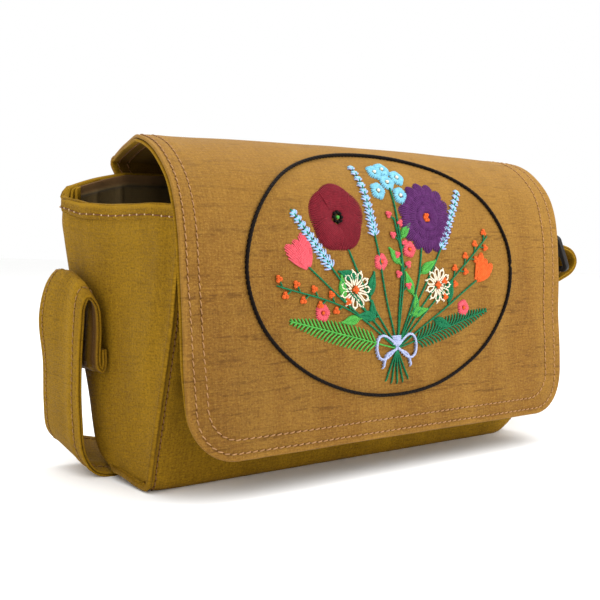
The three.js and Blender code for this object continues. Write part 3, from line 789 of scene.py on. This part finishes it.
# the lining is darkened with painted shade away from its edges, where it lies under the flap
flapBack = flapLayer("flapLining", flapCut["wall"] + flapCut["liningGap"], flapCut["liningWall"],
                     flapCut["liningLip"], 1.1, silkOlive, False)
print("flap", len(flap.data.polygons), "faces, length", round(flapLength, 1), "mm")

# Strap: two layers sewn edge to edge, so each edge shows a notch between them, darkened with painted shade
strapLook = dict(step=2.0, notch=1.5, groove=0.3, pad=0.16, fold=0.35, foldIn=-10.0, wave=0.35, waveSize=48,
                 waveSeed=71, freeAbove=3.0, foldAt=(-128.8, 29, 90.6), crown=4.0)
strapLine = evenly(smoothLine(strapCut["line"]), strapLook["step"])
strapMarks = lengthsOf(strapLine)
strapLength = strapMarks[-1]
strapHalf = strapCut["width"] / 2
strapRowsAt = (-strapHalf + strapCut["stitchIn"][0], strapHalf - strapCut["stitchIn"][1])


def strapFrames():
    centre = strapLine[:, :3].copy()
    centre[:, 2] = np.maximum(centre[:, 2], strapCut["wall"] / 2 + strapCut["offFloor"])
    heading = np.gradient(centre, axis=0)
    across = np.column_stack([strapLine[:, 3], np.full(len(strapLine), strapCut["width"]), strapLine[:, 4]])
    across /= np.linalg.norm(across, axis=1, keepdims=True)
    thick = np.column_stack([-heading[:, 2], np.zeros(len(heading)), heading[:, 0]])
    thick /= np.linalg.norm(thick, axis=1, keepdims=True)
    fromFold = np.linalg.norm(centre - np.array(strapLook["foldAt"]), axis=1)
    crown = strapLook["crown"] * hump(fromFold, 0, 14)  # the fold's middle stands higher than a straight line
    return centre, across, thick, crown


def strapWave(along, offset, z):
    look = strapLook
    return look["wave"] * ripple(along, offset, look["waveSize"], look["waveSeed"]) * (z > look["freeAbove"])


def crowned(points, offset, crown):
    points[..., 2] += crown * (1 - (offset / strapCut["width"] * 2) ** 2)
    return points


def strapSection():
    look = strapLook
    half, wall = strapHalf, strapCut["wall"] / 2
    flat = np.linspace(-half + 0.9, half - 0.9, 31)
    sink = sum(look["groove"] * hump(flat, row, 1.0) for row in strapRowsAt)
    pad = sum(look["pad"] * hump(flat, row * 1.18, 1.6) for row in strapRowsAt)
    pad = pad + look["fold"] * hump(flat, look["foldIn"], 2.4)
    top = [(a, wall - d + p) for a, d, p in zip(flat, sink, pad)]
    shoulder = [(half - 0.3, wall * 0.92), (half, wall * 0.6), (half - 0.15, wall * 0.24)]
    edge = shoulder + [(half - look["notch"], 0)] + [(a, -h) for a, h in shoulder[::-1]]
    bottom = [(a, -h) for a, h in top[::-1]]
    return np.array(top + edge + bottom + [(-a, -h) for a, h in edge])


def strapRibbon():
    centre, across, thick, crown = strapFrames()
    section = strapSection()
    offset, height = section[:, 0], section[:, 1]
    wave = strapWave(strapMarks[:, None], offset[None], centre[:, None, 2])
    rings = (centre[:, None] + across[:, None] * section[None, :, :1]
             + thick[:, None] * (section[None, :, 1:] + wave[..., None]))
    rings = crowned(rings, offset[None], crown[:, None])
    rings[..., 2] = np.maximum(rings[..., 2], strapCut["offFloor"])
    # edges paler, partly as rub and partly as painted highlight, a painted highlight along the fold's ridge,
    # and painted shade in the notch between the layers
    paintedLightAndWear = hump(np.abs(offset), strapHalf, 1.2) * (np.abs(height) > 0.3)
    paintedLightAndWear = paintedLightAndWear + 0.8 * hump(offset, strapLook["foldIn"], 2.4) - 1.2 * (np.abs(height) < 0.01)
    # painted shade on the inside of the left fold
    foldShade = fade(strapMarks, 8, 14) * (1 - fade(strapMarks, 60, 100))
    verts, faces, uv, paintedLightAndWear = ringLoft(rings, strapMarks, lengthsOf(section),
                                      paintedLightAndWear - 1.15 * foldShade[:, None] * (height > 0.3))
    return finishMesh("strapBand", verts, faces, uv[:, ::-1], paintedLightAndWear, silkOlive)


strap = strapRibbon()
print("strap length", round(strapLength, 1), "mm")

# Slider: a moulded frame with a middle bar, made as a filled curve with rounded edges
sliderLook = dict(width=50.0, length=25.0, wall=3.0, rail=3.3, corner=4.0, slotCorner=1.6, edge=0.8,
                  tilt=-64.0, seat=(174.5, 5.0, 108.9))


def roundedOutline(width, length, radius, middle):
    points = []
    for quarter, (sx, sy) in enumerate([(1, 1), (-1, 1), (-1, -1), (1, -1)]):
        for turn in np.linspace(0, quarterTurn, 7):
            angle = turn + quarter * quarterTurn
            points.append((sx * (width / 2 - radius) + radius * math.cos(angle),
                           middle + sy * (length / 2 - radius) + radius * math.sin(angle)))
    return points


def strapSlider():
    look = sliderLook
    slot = (look["length"] - 3 * look["rail"]) / 2
    pitch = (slot + look["rail"]) / 2
    curve = bpy.data.curves.new("strapSlider", "CURVE")
    curve.dimensions = "2D"
    curve.fill_mode = "BOTH"
    curve.extrude = (look["wall"] / 2 - look["edge"]) * mm
    curve.bevel_depth = look["edge"] * mm
    curve.bevel_resolution = 3
    curve.offset = -look["edge"] * mm
    outlines = [roundedOutline(look["width"], look["length"], look["corner"], -pitch)]
    for middle in (0, -2 * pitch):
        outlines.append(roundedOutline(look["width"] - 2 * look["rail"], slot, look["slotCorner"], middle))
    for points in outlines:
        spline = curve.splines.new("POLY")
        spline.points.add(len(points) - 1)
        for point, (px, py) in zip(spline.points, points):
            point.co = (px * mm, py * mm, 0, 1)
        spline.use_cyclic_u = True
    drawn = addObject("sliderDrawn", curve)
    mesh = evaluated(drawn)
    bpy.data.objects.remove(drawn)
    tilt = math.radians(look["tilt"])
    across, up = Vector((0, 1, 0)), Vector((-math.cos(tilt), 0, -math.sin(tilt)))
    turn = Matrix((across, up, across.cross(up))).transposed().to_4x4()
    mesh.transform(Matrix.Translation(Vector(look["seat"]) * mm) @ turn)
    cleanMesh(mesh, 1e-6, nylon)
    mesh.set_sharp_from_angle(angle=math.radians(40))
    return addObject("strapSlider", mesh)


slider = strapSlider()
print("slider done")


# Geometry Nodes trees
def newTree(name, sizes):
    tree = bpy.data.node_groups.new(name, "GeometryNodeTree")
    kinds = dict(Geometry="Geometry", **{size: "Float" for size in sizes}, Material="Material")
    for socket, kind in kinds.items():
        tree.interface.new_socket(socket, in_out="INPUT", socket_type="NodeSocket" + kind)
    tree.interface.new_socket("Geometry", in_out="OUTPUT", socket_type="NodeSocketGeometry")
    add = partial(addNode, tree)
    return tree, add, add("NodeGroupInput", out=None)


def endTree(tree, add, given, geometry):
    smooth = add("GeometryNodeSetShadeSmooth", {"Geometry": geometry})
    real = add("GeometryNodeRealizeInstances", {"Geometry": smooth})
    finish = add("GeometryNodeSetMaterial", {"Geometry": real, "Material": given["Material"]})
    add("NodeGroupOutput", {"Geometry": finish}, out=None)
    return tree


def bakeTree(name, source, tree, sizes, material):
    # runs a tree on a source mesh and keeps the result as a plain mesh
    drawn = addObject(name, source)
    modifier = drawn.modifiers.new(name, "NODES")
    modifier.node_group = tree
    values = {**sizes, "Material": material}
    for item in tree.interface.items_tree:
        if item.in_out == "INPUT" and item.name in values:
            modifier[item.identifier] = values[item.name]
    mesh = evaluated(drawn)
    drawn.modifiers.clear()
    drawn.data = mesh
    mesh.name = name
    return drawn


def edgeMesh(name, chains, field, kind, values):
    # an edge mesh through chains of points in mm, with a stored value at each point
    mesh = bpy.data.meshes.new(name)
    edges, start = [], 0
    for chain in chains:
        edges += [(start + i, start + i + 1) for i in range(len(chain) - 1)]
        start += len(chain)
    mesh.from_pydata((np.concatenate(chains) * mm).tolist(), edges, [])
    stored = mesh.attributes.new(field, kind, "POINT")
    part = "vector" if kind == "FLOAT_VECTOR" else "value"
    stored.data.foreach_set(part, np.asarray(values, np.float32).ravel())
    return mesh


def threadTube(add, line, radius, scale):
    # a capped six-sided thread that knows how far along and around it each point lies
    along = add("GeometryNodeSplineParameter", out=None)
    ring = add("GeometryNodeCurvePrimitiveCircle", {"Resolution": 6, "Radius": radius})
    store = "GeometryNodeStoreNamedAttribute"
    line = add(store, {"Geometry": line, "Name": "threadAlong", "Value": along["Length"]})
    ring = add(store, {"Geometry": ring, "Name": "threadAround", "Value": along["Factor"]})
    return add("GeometryNodeCurveToMesh", {"Curve": line, "Profile Curve": ring, "Scale": scale,
                                           "Fill Caps": True})


# Topstitching: one short arched stitch at each step of a sewn line
stitchLook = dict(pitch=3.5, length=2.6, radius=0.3, arch=0.3, slant=11.0, hole=0.38)


def stepsAlong(add, given):
    # points at each pitch of a sewn line, and the turn that lays a stitch along it on the cloth
    path = add("GeometryNodeMeshToCurve", {"Mesh": given["Geometry"]})
    steps = add("GeometryNodeCurveToPoints", {"Curve": path, "Length": given["Pitch"]}, None, mode="LENGTH")
    up = add("GeometryNodeInputNamedAttribute", {"Name": "clothUp"}, data_type="FLOAT_VECTOR")
    upright = add("FunctionNodeAlignRotationToVector", {"Vector": up}, axis="Z")
    aimed = add("FunctionNodeAlignRotationToVector", {"Rotation": upright, "Vector": steps["Tangent"]},
                axis="X", pivot_axis="Z")
    return steps["Points"], aimed


def topstitchTree():
    tree, add, given = newTree("topstitch", ["Pitch", "Length", "Radius", "Arch", "Slant"])
    points, aimed = stepsAlong(add, given)
    slant = add("ShaderNodeCombineXYZ", {"Z": given["Slant"]})
    turned = add("FunctionNodeRotateRotation", {"Rotation": aimed, "Rotate By": slant},
                 rotation_space="LOCAL")
    half = add("ShaderNodeMath", {0: given["Length"], 1: 0.5}, operation="MULTIPLY")
    minus = add("ShaderNodeMath", {0: half, 1: -1.0}, operation="MULTIPLY")
    start, end = [add("ShaderNodeCombineXYZ", {"X": reach}) for reach in (minus, half)]
    line = add("GeometryNodeCurvePrimitiveLine", {"Start": start, "End": end})
    line = add("GeometryNodeResampleCurve", {"Curve": line, "Count": 6})
    along = add("GeometryNodeSplineParameter", out="Factor")
    bow = add("ShaderNodeMath", {0: along, 1: math.pi}, operation="MULTIPLY")
    bow = add("ShaderNodeMath", {0: bow}, operation="SINE")
    arched = add("ShaderNodeMath", {0: bow, 1: given["Arch"]}, operation="MULTIPLY")
    raised = add("ShaderNodeCombineXYZ", {"Z": arched})
    line = add("GeometryNodeSetPosition", {"Geometry": line, "Offset": raised})
    taper = add("ShaderNodeMapRange", {"Value": bow, "From Max": 0.6, "To Min": 0.55})
    stitch = threadTube(add, line, given["Radius"], taper)
    placed = add("GeometryNodeInstanceOnPoints", {"Points": points, "Instance": stitch, "Rotation": turned})
    return endTree(tree, add, given, placed)


# Needle holes: a bead between each two stitches; a dark bead stands for the shade in the hole, a pale one for
# the bobbin thread at the rim
def needleHoleTree():
    tree, add, given = newTree("needleHole", ["Pitch", "Radius"])
    points, aimed = stepsAlong(add, given)
    half = add("ShaderNodeMath", {0: given["Pitch"], 1: 0.5}, operation="MULTIPLY")
    ahead = add("ShaderNodeCombineXYZ", {"X": half})
    bead = add("GeometryNodeMeshUVSphere", {"Segments": 8, "Rings": 4, "Radius": given["Radius"]})
    bead = add("GeometryNodeTransform", {"Geometry": bead, "Translation": ahead, "Scale": (1, 0.85, 0.4)})
    placed = add("GeometryNodeInstanceOnPoints", {"Points": points, "Instance": bead, "Rotation": aimed})
    return endTree(tree, add, given, placed)


def sewn(name, lines, thread, under="HoleShade", **changes):
    # rows of stitches and needle holes along pairs of points and cloth normals, in mm
    look = {**stitchLook, **changes}
    sizes = {size.capitalize(): look[size] * mm for size in ("pitch", "length", "radius", "arch")}
    sizes["Slant"] = math.radians(look["slant"])
    chains, ups = zip(*lines)
    path = edgeMesh(name + "Path", chains, "clothUp", "FLOAT_VECTOR", np.concatenate(ups))
    stitches = bakeTree(name + "Topstitch", path, topstitch, sizes, threads[thread])
    sizes["Radius"] = look["hole"] * mm
    return [stitches, bakeTree(name + "NeedleHoles", path, needleHole, sizes, threads[under])]


def flapFacing(toEnd):
    return np.column_stack([np.zeros(len(toEnd)), at(flapLength - toEnd, flapMarks, flapOut)])


def flapRowLine(row, under=False):
    # down the left side, round the lower corners and up the right side, on the flap's face or its lining
    corner = row["corner"]
    low = row["low"] + corner
    tall = np.arange(flapLength - 6, low, -1.0)
    turn = np.linspace(0, quarterTurn, 30)[1:-1]
    left = row["left"] + corner - flapCut["halfWidth"]
    right = float(flapFullWidth(np.array(low), True)) - row["right"] - corner
    flat = np.arange(left, right, 1.0)
    u = np.concatenate([rowLeft(row, tall) - flapFullWidth(tall, False), left - corner * np.cos(turn), flat,
                        right + corner * np.sin(turn), (flapFullWidth(tall, True) - row["right"])[::-1]])
    toEnd = np.concatenate([tall, low - corner * np.sin(turn), np.full(len(flat), row["low"]),
                            low - corner * np.cos(turn), tall[::-1]])
    if under:
        depth = flapCut["wall"] + flapCut["liningGap"] + flapCut["liningWall"] + 0.12
        return flapPlace(u, toEnd, -depth, False), -flapFacing(toEnd)
    return flapPlace(u, toEnd, 0.16), flapFacing(toEnd)


def flapSeamLine(up):
    # across the flap's end, where it is sewn to the back wall
    reach = float(flapFullWidth(np.array(flapLength - up), False)) - 3
    u = np.arange(-reach, reach, 1.0)
    toEnd = np.full(len(u), flapLength - up)
    return flapPlace(u, toEnd, 0.16), flapFacing(toEnd)


def seamLine(side):
    s = np.arange(3, bodyLength - 3, 1.0)
    x = np.full_like(s, side * (bodyHalf - bodyPanelLook["grooveAt"]))
    face, out = bodyFace(np.repeat(s[:, None], 3, 1), np.stack([x - 1, x, x + 1], -1))
    return face[:, 1] + out[:, 1] * 0.12, out[:, 1]


def rimStitchLine(side):
    line, out, marks = rimFrames(side, 1.0)
    points = line + out * (seamGap + bindingLook["wall"] + 0.16)
    wander = bindingLook["wander"] * ripple(marks, marks * 0, 22, 91 + side)
    points[:, 2] += bindingLook["stitchUp"] - bindingLook["height"] + wander
    return points[2:-2], out[2:-2]


def strapStitchLine(row, face):
    # on the upper face the row starts past the left fold, whose inside is hidden
    centre, across, thick, crown = strapFrames()
    section = np.full_like(strapMarks, row)
    rise = face * (strapCut["wall"] / 2 - strapLook["groove"] + 0.12)
    rise = rise + strapWave(strapMarks, section, centre[:, 2])
    points = crowned(centre + across * row + thick * rise[:, None], section, crown)
    keep = (points[:, 2] > 0.4) & (strapMarks > (4 if face < 0 else 100)) & (strapMarks < strapLength - 4)
    return points[keep], thick[keep] * face


topstitch = topstitchTree()
needleHole = needleHoleTree()
# the dark hole thread is painted shade in the needle holes
threadLooks = dict(Rose=("#b88e60", "#86603e", 1.1, 0.5), Mauve=("#946b42", "#6c492c", 1.1, 0.5),
                   Tan=("#a98252", "#7d5c36", 1.1, 0.5), HoleShade=("#5e3a1a", "#42260f", 1.1, 0.6),
                   Pale=("#dcbf9c", "#b08c64", 1.1, 0.5), Brown=("#7c4f34", "#5a3622", 1.1, 0.5))
threads = {name: twistedThread("polyesterThread" + name, *look) for name, look in threadLooks.items()}
flapLines = [flapRowLine(row) for row in flapCut["rows"]] + [flapSeamLine(up) for up in flapCut["seamRows"]]
flapRows = sewn("flap", flapLines, "Rose")
flapBackRows = sewn("flapLining", [flapRowLine(row, True) for row in flapCut["rows"]], "Mauve")
seamRows = sewn("seam", [seamLine(side) for side in sideNames], "Mauve", pitch=3.0, length=2.0,
                radius=0.27, hole=0.5)
rimRows = sewn("rim", [rimStitchLine(side) for side in sideNames], "Brown", "Pale", pitch=6.0, length=4.8,
               radius=0.26, arch=0.12, slant=4.0, hole=0.55)
strapRows = sewn("strap", [strapStitchLine(row, face) for row in strapRowsAt for face in (-1, 1)], "Tan")
print("topstitching done")

# Embroidery: a tied posy of folk flowers in an oval outline, worked in six-strand cotton
posy = dict(middle=(-3.0, 81.0), reach=(85.0, 61.0), tie=(-3.0, 42.0), thread=0.45)
floss = dict(black=("#17100c", "#090503"), purple=("#633069", "#3d1a45"), wine=("#84222e", "#54121c"),
             sky=("#8fcbdd", "#5d9fb8"), mist=("#b9c1de", "#8790b8"), coral=("#e6656f", "#b83f4c"),
             orange=("#e66b30", "#b0461a"), cream=("#f2e9d8", "#cbbd9f"), pine=("#237d50", "#12543a"),
             leaf=("#5bb04e", "#3b8336"))
# stitches by colour, as points across, up and off the cloth, and a radius
worked = {colour: [] for colour in floss}
# along a stitch: how far, how high and how thick; it dives into the cloth at both ends
stitchRun = ((0, -0.5, 0.6), (0.1, 0.35, 0.9), (0.35, 0.9, 1),
             (0.65, 0.9, 1), (0.9, 0.35, 0.9), (1, -0.5, 0.6))


def towards(degrees):
    return np.array([math.cos(math.radians(degrees)), math.sin(math.radians(degrees))])


def spotOn(line, start, end):
    # the points at two lengths along a line, and the heading from the first to the second in degrees
    first, second = at(np.array([start, end]), lengthsOf(line), line)
    return first, second, math.degrees(math.atan2(*(second - first)[::-1]))


def layStitch(colour, start, end, lift=0.55, bow=0.0, thick=1.0):
    start, end = np.asarray(start, float), np.asarray(end, float)
    run = end - start
    side = np.array([-run[1], run[0]])
    points = []
    for t, rise, size in stitchRun:
        u, v = start + run * t + side * bow * math.sin(math.pi * t)
        points.append((u, v, lift * rise, posy["thread"] * size * thick))
    worked[colour].append(points)


def stemStitch(colour, path, length=4.4, thick=1.0, lift=0.55):
    # overlapping slanted stitches that make a rope
    line = evenly(path, 0.4)
    marks = lengthsOf(line)
    count = max(int(marks[-1] / (length * 0.5)), 1)
    for k in range(count):
        start, end = at(np.array([k, k + 2]) * marks[-1] / (count + 1), marks, line)
        run = end - start
        side = np.array([-run[1], run[0]]) / max(np.linalg.norm(run), 1e-6) * 0.3 * posy["thread"] * thick
        layStitch(colour, start + side, end - side, lift, thick=thick)


def fishboneLeaf(colour, foot, degrees, length, width):
    along, across = towards(degrees), towards(degrees + 90)
    count = int(length / 0.9)
    for k in range(count):
        t = (k + 0.5) / count
        half = width / 2 * math.sin(math.pi * t ** 0.8)
        rib = foot + along * length * min(t + 0.16, 1.02)
        for side in (-1, 1):
            start = foot + along * length * t * 0.9 + across * side * half
            layStitch(colour, start, rib - across * side * 0.25, 0.5)


def satinPetal(colour, foot, degrees, length, width, strands, lift=0.6):
    along, across = towards(degrees), towards(degrees + 90)
    for part in np.linspace(-1, 1, strands):
        tip = foot + along * length * (1 - 0.3 * part ** 2) + across * part * width / 2
        layStitch(colour, foot + across * part * width * 0.2, tip, lift, bow=0.06 * part)


def loopPetal(colour, foot, degrees, length, width):
    along, across = towards(degrees), towards(degrees + 90)
    points = []
    for t in np.linspace(0, 1, 11):
        out = length * math.sin(math.pi * t) ** 0.8
        u, v = foot + along * out + across * width / 2 * math.sin(fullTurn * t)
        points.append((u, v, 0.45 - 0.8 * (t in (0, 1)), posy["thread"] * 0.9))
    worked[colour].append(points)
    layStitch(colour, foot + along * length * 0.92, foot + along * length * 1.18, 0.55)


def frenchKnot(colour, middle, size=0.75):
    points = [(middle[0], middle[1], -0.3, posy["thread"] * 0.7)]
    for t in np.linspace(0, 1, 13):
        u, v = middle + towards(720 * t) * size * (1 - 0.45 * t)
        points.append((u, v, 0.3 + 0.75 * t, posy["thread"]))
    points.append((middle[0], middle[1], 0.9, posy["thread"] * 0.8))
    worked[colour].append(points)


def knotRing(colours, middle, count, step, reach, size):
    # one knot in the middle and the others round it
    for k in range(count):
        frenchKnot(colours[k > 0], middle + towards(step * k) * reach * (k > 0), size)


def dahlia(colour, heart, middle, radius):
    for ring, (inner, outer, petals) in enumerate([(0.52, 1.0, 15), (0.3, 0.74, 11), (0.12, 0.47, 8)]):
        width = fullTurn * outer * radius / petals * 0.95
        for k in range(petals):
            degrees = 360 * (k + 0.5 * ring) / petals
            satinPetal(colour, middle + towards(degrees) * inner * radius, degrees,
                       (outer - inner) * radius * 1.1, width, 8, 0.6 + 0.45 * ring)
    knotRing((heart, heart), middle, 6, 60, 1.5, 0.7)


def poppy(colour, middle, radius):
    for k, lift in enumerate((0.5, 1.2, 0.6, 1.3, 0.9)):
        foot = middle + towards(72 * k + 18) * radius * 0.16
        satinPetal(colour, foot, 72 * k + 18, radius * 0.86, radius * 1.08, 22, lift)
    knotRing(("leaf", "black"), middle, 9, 45, 2.3, 0.65)


def forgetMeNot(colour, heart, middle, radius):
    for k in range(5):
        foot = middle + towards(72 * k) * radius * 0.25
        satinPetal(colour, foot, 72 * k, radius * 0.75, radius * 0.85, 5, 0.6)
    frenchKnot(heart, middle, 0.55)


def tulip(colour, foot, degrees, length):
    for turn, share, lift in ((-20, 1.0, 0.6), (20, 1.0, 0.6), (0, 0.92, 0.95)):
        satinPetal(colour, foot, degrees + turn, length * share, length * 0.42, 9, lift)


def daisy(middle, radius, petals=11):
    for k in range(petals):
        degrees = 360 * k / petals
        loopPetal("cream", middle + towards(degrees) * radius * 0.24, degrees, radius * 0.66, radius * 0.3)
    knotRing(("orange", "orange"), middle, 5, 90, 1.1, 0.6)


def lavender(path):
    stemStitch("pine", path, thick=0.9)
    line = evenly(path, 0.5)
    length = lengthsOf(line)[-1]
    for mark in np.arange(length * 0.62, length, 3.4):
        _, spot, degrees = spotOn(line, mark - 1, mark)
        size = 5.4 - 2.4 * (mark / length - 0.62) / 0.38
        for turn, colour in ((-52, "mist"), (52, "mist"), (-20, "sky"), (20, "sky")):
            satinPetal(colour, spot, degrees + turn, size, 1.5, 2, 0.6)


def berrySprig(path, colour):
    stemStitch("pine", path, thick=0.8)
    line = evenly(path, 0.5)
    length = lengthsOf(line)[-1]
    for k, mark in enumerate(np.arange(length * 0.45, length + 0.1, 5.0)):
        spot, _, degrees = spotOn(line, mark - 1, mark)
        degrees += 45 if k % 2 else -45
        tip = spot + towards(degrees) * 4.5
        layStitch("pine", spot, tip, 0.5, thick=0.8)
        for j in range(3):
            frenchKnot(colour, tip + towards(degrees + 120 * j) * 0.9, 0.8)


def fern(path, colour):
    stemStitch(colour, path, thick=0.8)
    line = evenly(path, 0.5)
    length = lengthsOf(line)[-1]
    for mark in np.arange(length * 0.2, length, 2.4):
        spot, _, degrees = spotOn(line, mark, mark + 1)
        reach = 7.5 * math.sin(math.pi * (0.2 + 0.75 * mark / length))
        for turn, bow in ((-48, 0.08), (48, -0.08)):
            layStitch(colour, spot, spot + towards(degrees + turn) * reach, 0.55, bow=bow)


def stemTo(target, bend):
    # a curved stem from the tie to a flower
    tie, target = np.array(posy["tie"]), np.array(target, float)
    path = smoothLine([tie, (tie + target) / 2 + np.array([bend, 4.0]), target], 16)
    stemStitch("pine", path, thick=0.9)
    return path


def leavesOn(path, spots, colour, length, width):
    total = lengthsOf(path)[-1]
    for fraction, turn in spots:
        spot, _, degrees = spotOn(path, fraction * total, (fraction + 0.02) * total)
        way = towards(degrees + turn)
        layStitch(colour, spot, spot + way * 1.8, 0.5)
        fishboneLeaf(colour, spot + way * 1.5, degrees + turn, length, width)


# Where the posy's stems run, by way of which point, and what grows on them
lavenderStems = [((-36, 76), (-62, 108)), ((26, 84), (50, 121)), ((-12, 92), (-17, 131))]
berryStems = [((-32, 62), (-72, 74), "orange"), ((34, 72), (66, 97), "orange"), ((4, 78), (1, 106), "coral")]
fernStems = [((-34, 50), (-66, 58), "leaf"), ((30, 50), (62, 58), "pine")]
leafyStems = [((17, 91), 5, [(0.34, -50), (0.52, 46), (0.74, -46)], "leaf", 12, 5),
              ((-30, 90), -4, [(0.34, 52), (0.52, -46), (0.72, 48)], "pine", 12, 5),
              ((2, 122), 4, [(0.5, 44), (0.66, -44)], "leaf", 10, 4.4),
              ((-54, 82), -6, [(0.4, 44), (0.6, -46)], "leaf", 11, 4.6),
              ((56, 74), 8, [(0.42, -46), (0.62, 46)], "pine", 12, 5),
              ((-28, 70), -5, [(0.5, -40)], "pine", 9, 4),
              ((26, 72), 3, [(0.5, 42)], "leaf", 9, 4)]
skyBlooms = [(2, 124), (-6, 119), (8, 117), (10, 127), (-3, 130), (3, 132)]
coralBlooms = [(-47, 61), (45, 60), (-10, 84), (9, 90)]


def sewPosy():
    tie = np.array(posy["tie"])
    turn = np.linspace(0, fullTurn, 361)
    oval = np.array(posy["middle"]) + np.column_stack([np.cos(turn), np.sin(turn)]) * np.array(posy["reach"])
    stemStitch("black", oval, length=4.6, thick=1.7, lift=0.8)
    for stems, sew in ((lavenderStems, lavender), (berryStems, berrySprig), (fernStems, fern)):
        for half, tip, *colour in stems:
            sew(smoothLine([tie, half, tip]), *colour)
    for target, bend, spots, colour, length, width in leafyStems:
        leavesOn(stemTo(target, bend), spots, colour, length, width)
    tulip("coral", (-54, 82), 122, 16)
    tulip("orange", (56, 74), 52, 15)
    daisy((-27, 71), 9.5)
    daisy((27, 72), 9.0)
    for middle in skyBlooms:
        forgetMeNot("sky", "cream", middle, 4.6)
    for middle in coralBlooms:
        forgetMeNot("coral", "orange", middle, 4.2)
    dahlia("purple", "orange", (23, 106), 17.5)
    poppy("wine", (-35, 105), 16.5)
    for turn in (-26, -13, 0, 13, 26):  # stems below the tie, and its bow
        stemStitch("pine", [tie, tie + towards(270 + turn) * 17], thick=0.9)
    for side in (-1, 1):
        loop = [tie + np.array([side * 13 * math.sin(math.pi * t), 1 + 6 * math.sin(fullTurn * t)])
                for t in np.linspace(0, 1, 25)]
        tail = smoothLine([tie, (tie[0] + side * 7, 39), (tie[0] + side * 9, 33)])
        for path in (loop, tail):
            stemStitch("mist", path, length=3.4, thick=1.2, lift=1.1)
    for k in range(5):
        height = 44.4 + 0.9 * k
        layStitch("mist", (tie[0] - 3.2, height), (tie[0] + 3.2, height), 1.3, thick=1.2)


def threadTree():
    tree, add, given = newTree("flossThread", [])
    path = add("GeometryNodeMeshToCurve", {"Mesh": given["Geometry"]})
    size = add("GeometryNodeInputNamedAttribute", {"Name": "threadRadius"})
    return endTree(tree, add, given, threadTube(add, path, 1.0, size))


def embroider(colour, tree):
    flat = np.concatenate(worked[colour])
    verts = flapPlace(flat[:, 0], flat[:, 1], flat[:, 2] + posy["thread"] * 0.5)
    chains = np.split(verts, np.cumsum([len(points) for points in worked[colour]])[:-1])
    path = edgeMesh("embroideryPath", chains, "threadRadius", "FLOAT", flat[:, 3] * mm)
    material = twistedThread("cottonFloss" + colour.capitalize(), *floss[colour], 1.6, 0.5)
    return bakeTree("embroidery" + colour.capitalize(), path, tree, {}, material)


sewPosy()
flossTree = threadTree()
embroidered = [embroider(colour, flossTree) for colour in floss]
print("embroidery", sum(len(stitches) for stitches in worked.values()), "stitches")

# What each piece stands for: the node it replaces and its material slot
standsFor = [(body, "body_panel", "silk_olive"), (gussets[-1], "gusset_left", "silk_olive"),
             (gussets[1], "gusset_right", "silk_olive"), (bindings[-1], "gusset_binding_left", "silk_olive"),
             (bindings[1], "gusset_binding_right", "silk_olive"), (pouch, "body_lining", "lining_cloth"),
             (flap, "flap", "silk_ochre"), (flapBack, "flap_lining", "silk_olive"),
             (strap, "strap", "silk_olive"), (slider, "strap_slider", "black_plastic")]
for piece, node, slot in standsFor:
    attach(piece, "root")
    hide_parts(node)
for piece in flapRows + flapBackRows + seamRows + rimRows + strapRows + embroidered:
    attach(piece, "root")

# Floor, camera and light
studio = dict(floor=("#fbfbfa", "#fdfdfc"), world=1.0, size=3.0)
cameraLook = dict(place=(-322.75, -402.01, 108.15), turn=37.37, dip=3.14, lens=58.19, sensor=36.0)
# soft boxes: place and aim in metres, size in metres, power in watts
lights = [dict(name="keyBox", place=(0.22, -0.36, 0.42), aim=(0.03, -0.06, 0.11), size=0.3, power=1.3),
          dict(name="sideBox", place=(-0.5, -0.15, 0.6), aim=(-0.1, 0, 0.1), size=0.4, power=0.8),
          dict(name="lowBox", place=(0.22, -0.74, 0.06), aim=(0, -0.05, 0.02), size=0.5, power=2.8),
          dict(name="topBox", place=(0.1, 0.2, 1.7), aim=(0, 0, 0.1), size=1.4, power=20.0)]


def addFloor():
    material, add, shader = newMaterial("paleFloor")
    place = add("ShaderNodeTexCoord", out="Object")
    soft = add("ShaderNodeTexNoise", {"Vector": place, "Scale": 3.0}, "Fac")
    pale, paler = [linear(tone) for tone in studio["floor"]]
    colour = add("ShaderNodeMix", {0: soft, 6: pale, 7: paler}, 2, data_type="RGBA")
    feed(shader, {"Base Color": colour, "Roughness": 0.9, "Specular IOR Level": 0.1})
    mesh = bpy.data.meshes.new("floor")
    half = studio["size"]
    corners = [(-half, -half, 0), (half, -half, 0), (half, half * 4, 0), (-half, half * 4, 0)]
    mesh.from_pydata(corners, [], [(0, 1, 2, 3)])
    mesh.materials.append(material)
    addObject("floor", mesh)


def addCamera():
    data = bpy.data.cameras.new("photoCamera")
    data.lens = cameraLook["lens"]
    data.sensor_width = cameraLook["sensor"]
    data.clip_start = 0.01
    camera = addObject("photoCamera", data)
    camera.location = Vector(cameraLook["place"]) * mm
    camera.rotation_euler = (math.radians(90 - cameraLook["dip"]), 0, math.radians(-cameraLook["turn"]))
    bpy.context.scene.camera = camera


def addLights():
    for light in lights:
        data = bpy.data.lights.new(light["name"], "AREA")
        data.size = light["size"]
        data.energy = light["power"]
        box = addObject(light["name"], data)
        box.location = light["place"]
        aim = Vector(light["aim"]) - Vector(light["place"])
        box.rotation_euler = aim.to_track_quat("-Z", "Y").to_euler()
        box.visible_camera = False
    world = bpy.data.worlds.new("studioWorld")
    world.use_nodes = True
    feed(world.node_tree.nodes["Background"], {"Color": (1, 1, 1, 1), "Strength": studio["world"]})
    bpy.context.scene.world = world
    bpy.context.scene.view_settings.view_transform = "Standard"


addFloor()
addCamera()
addLights()
print("stage, camera and lights set")
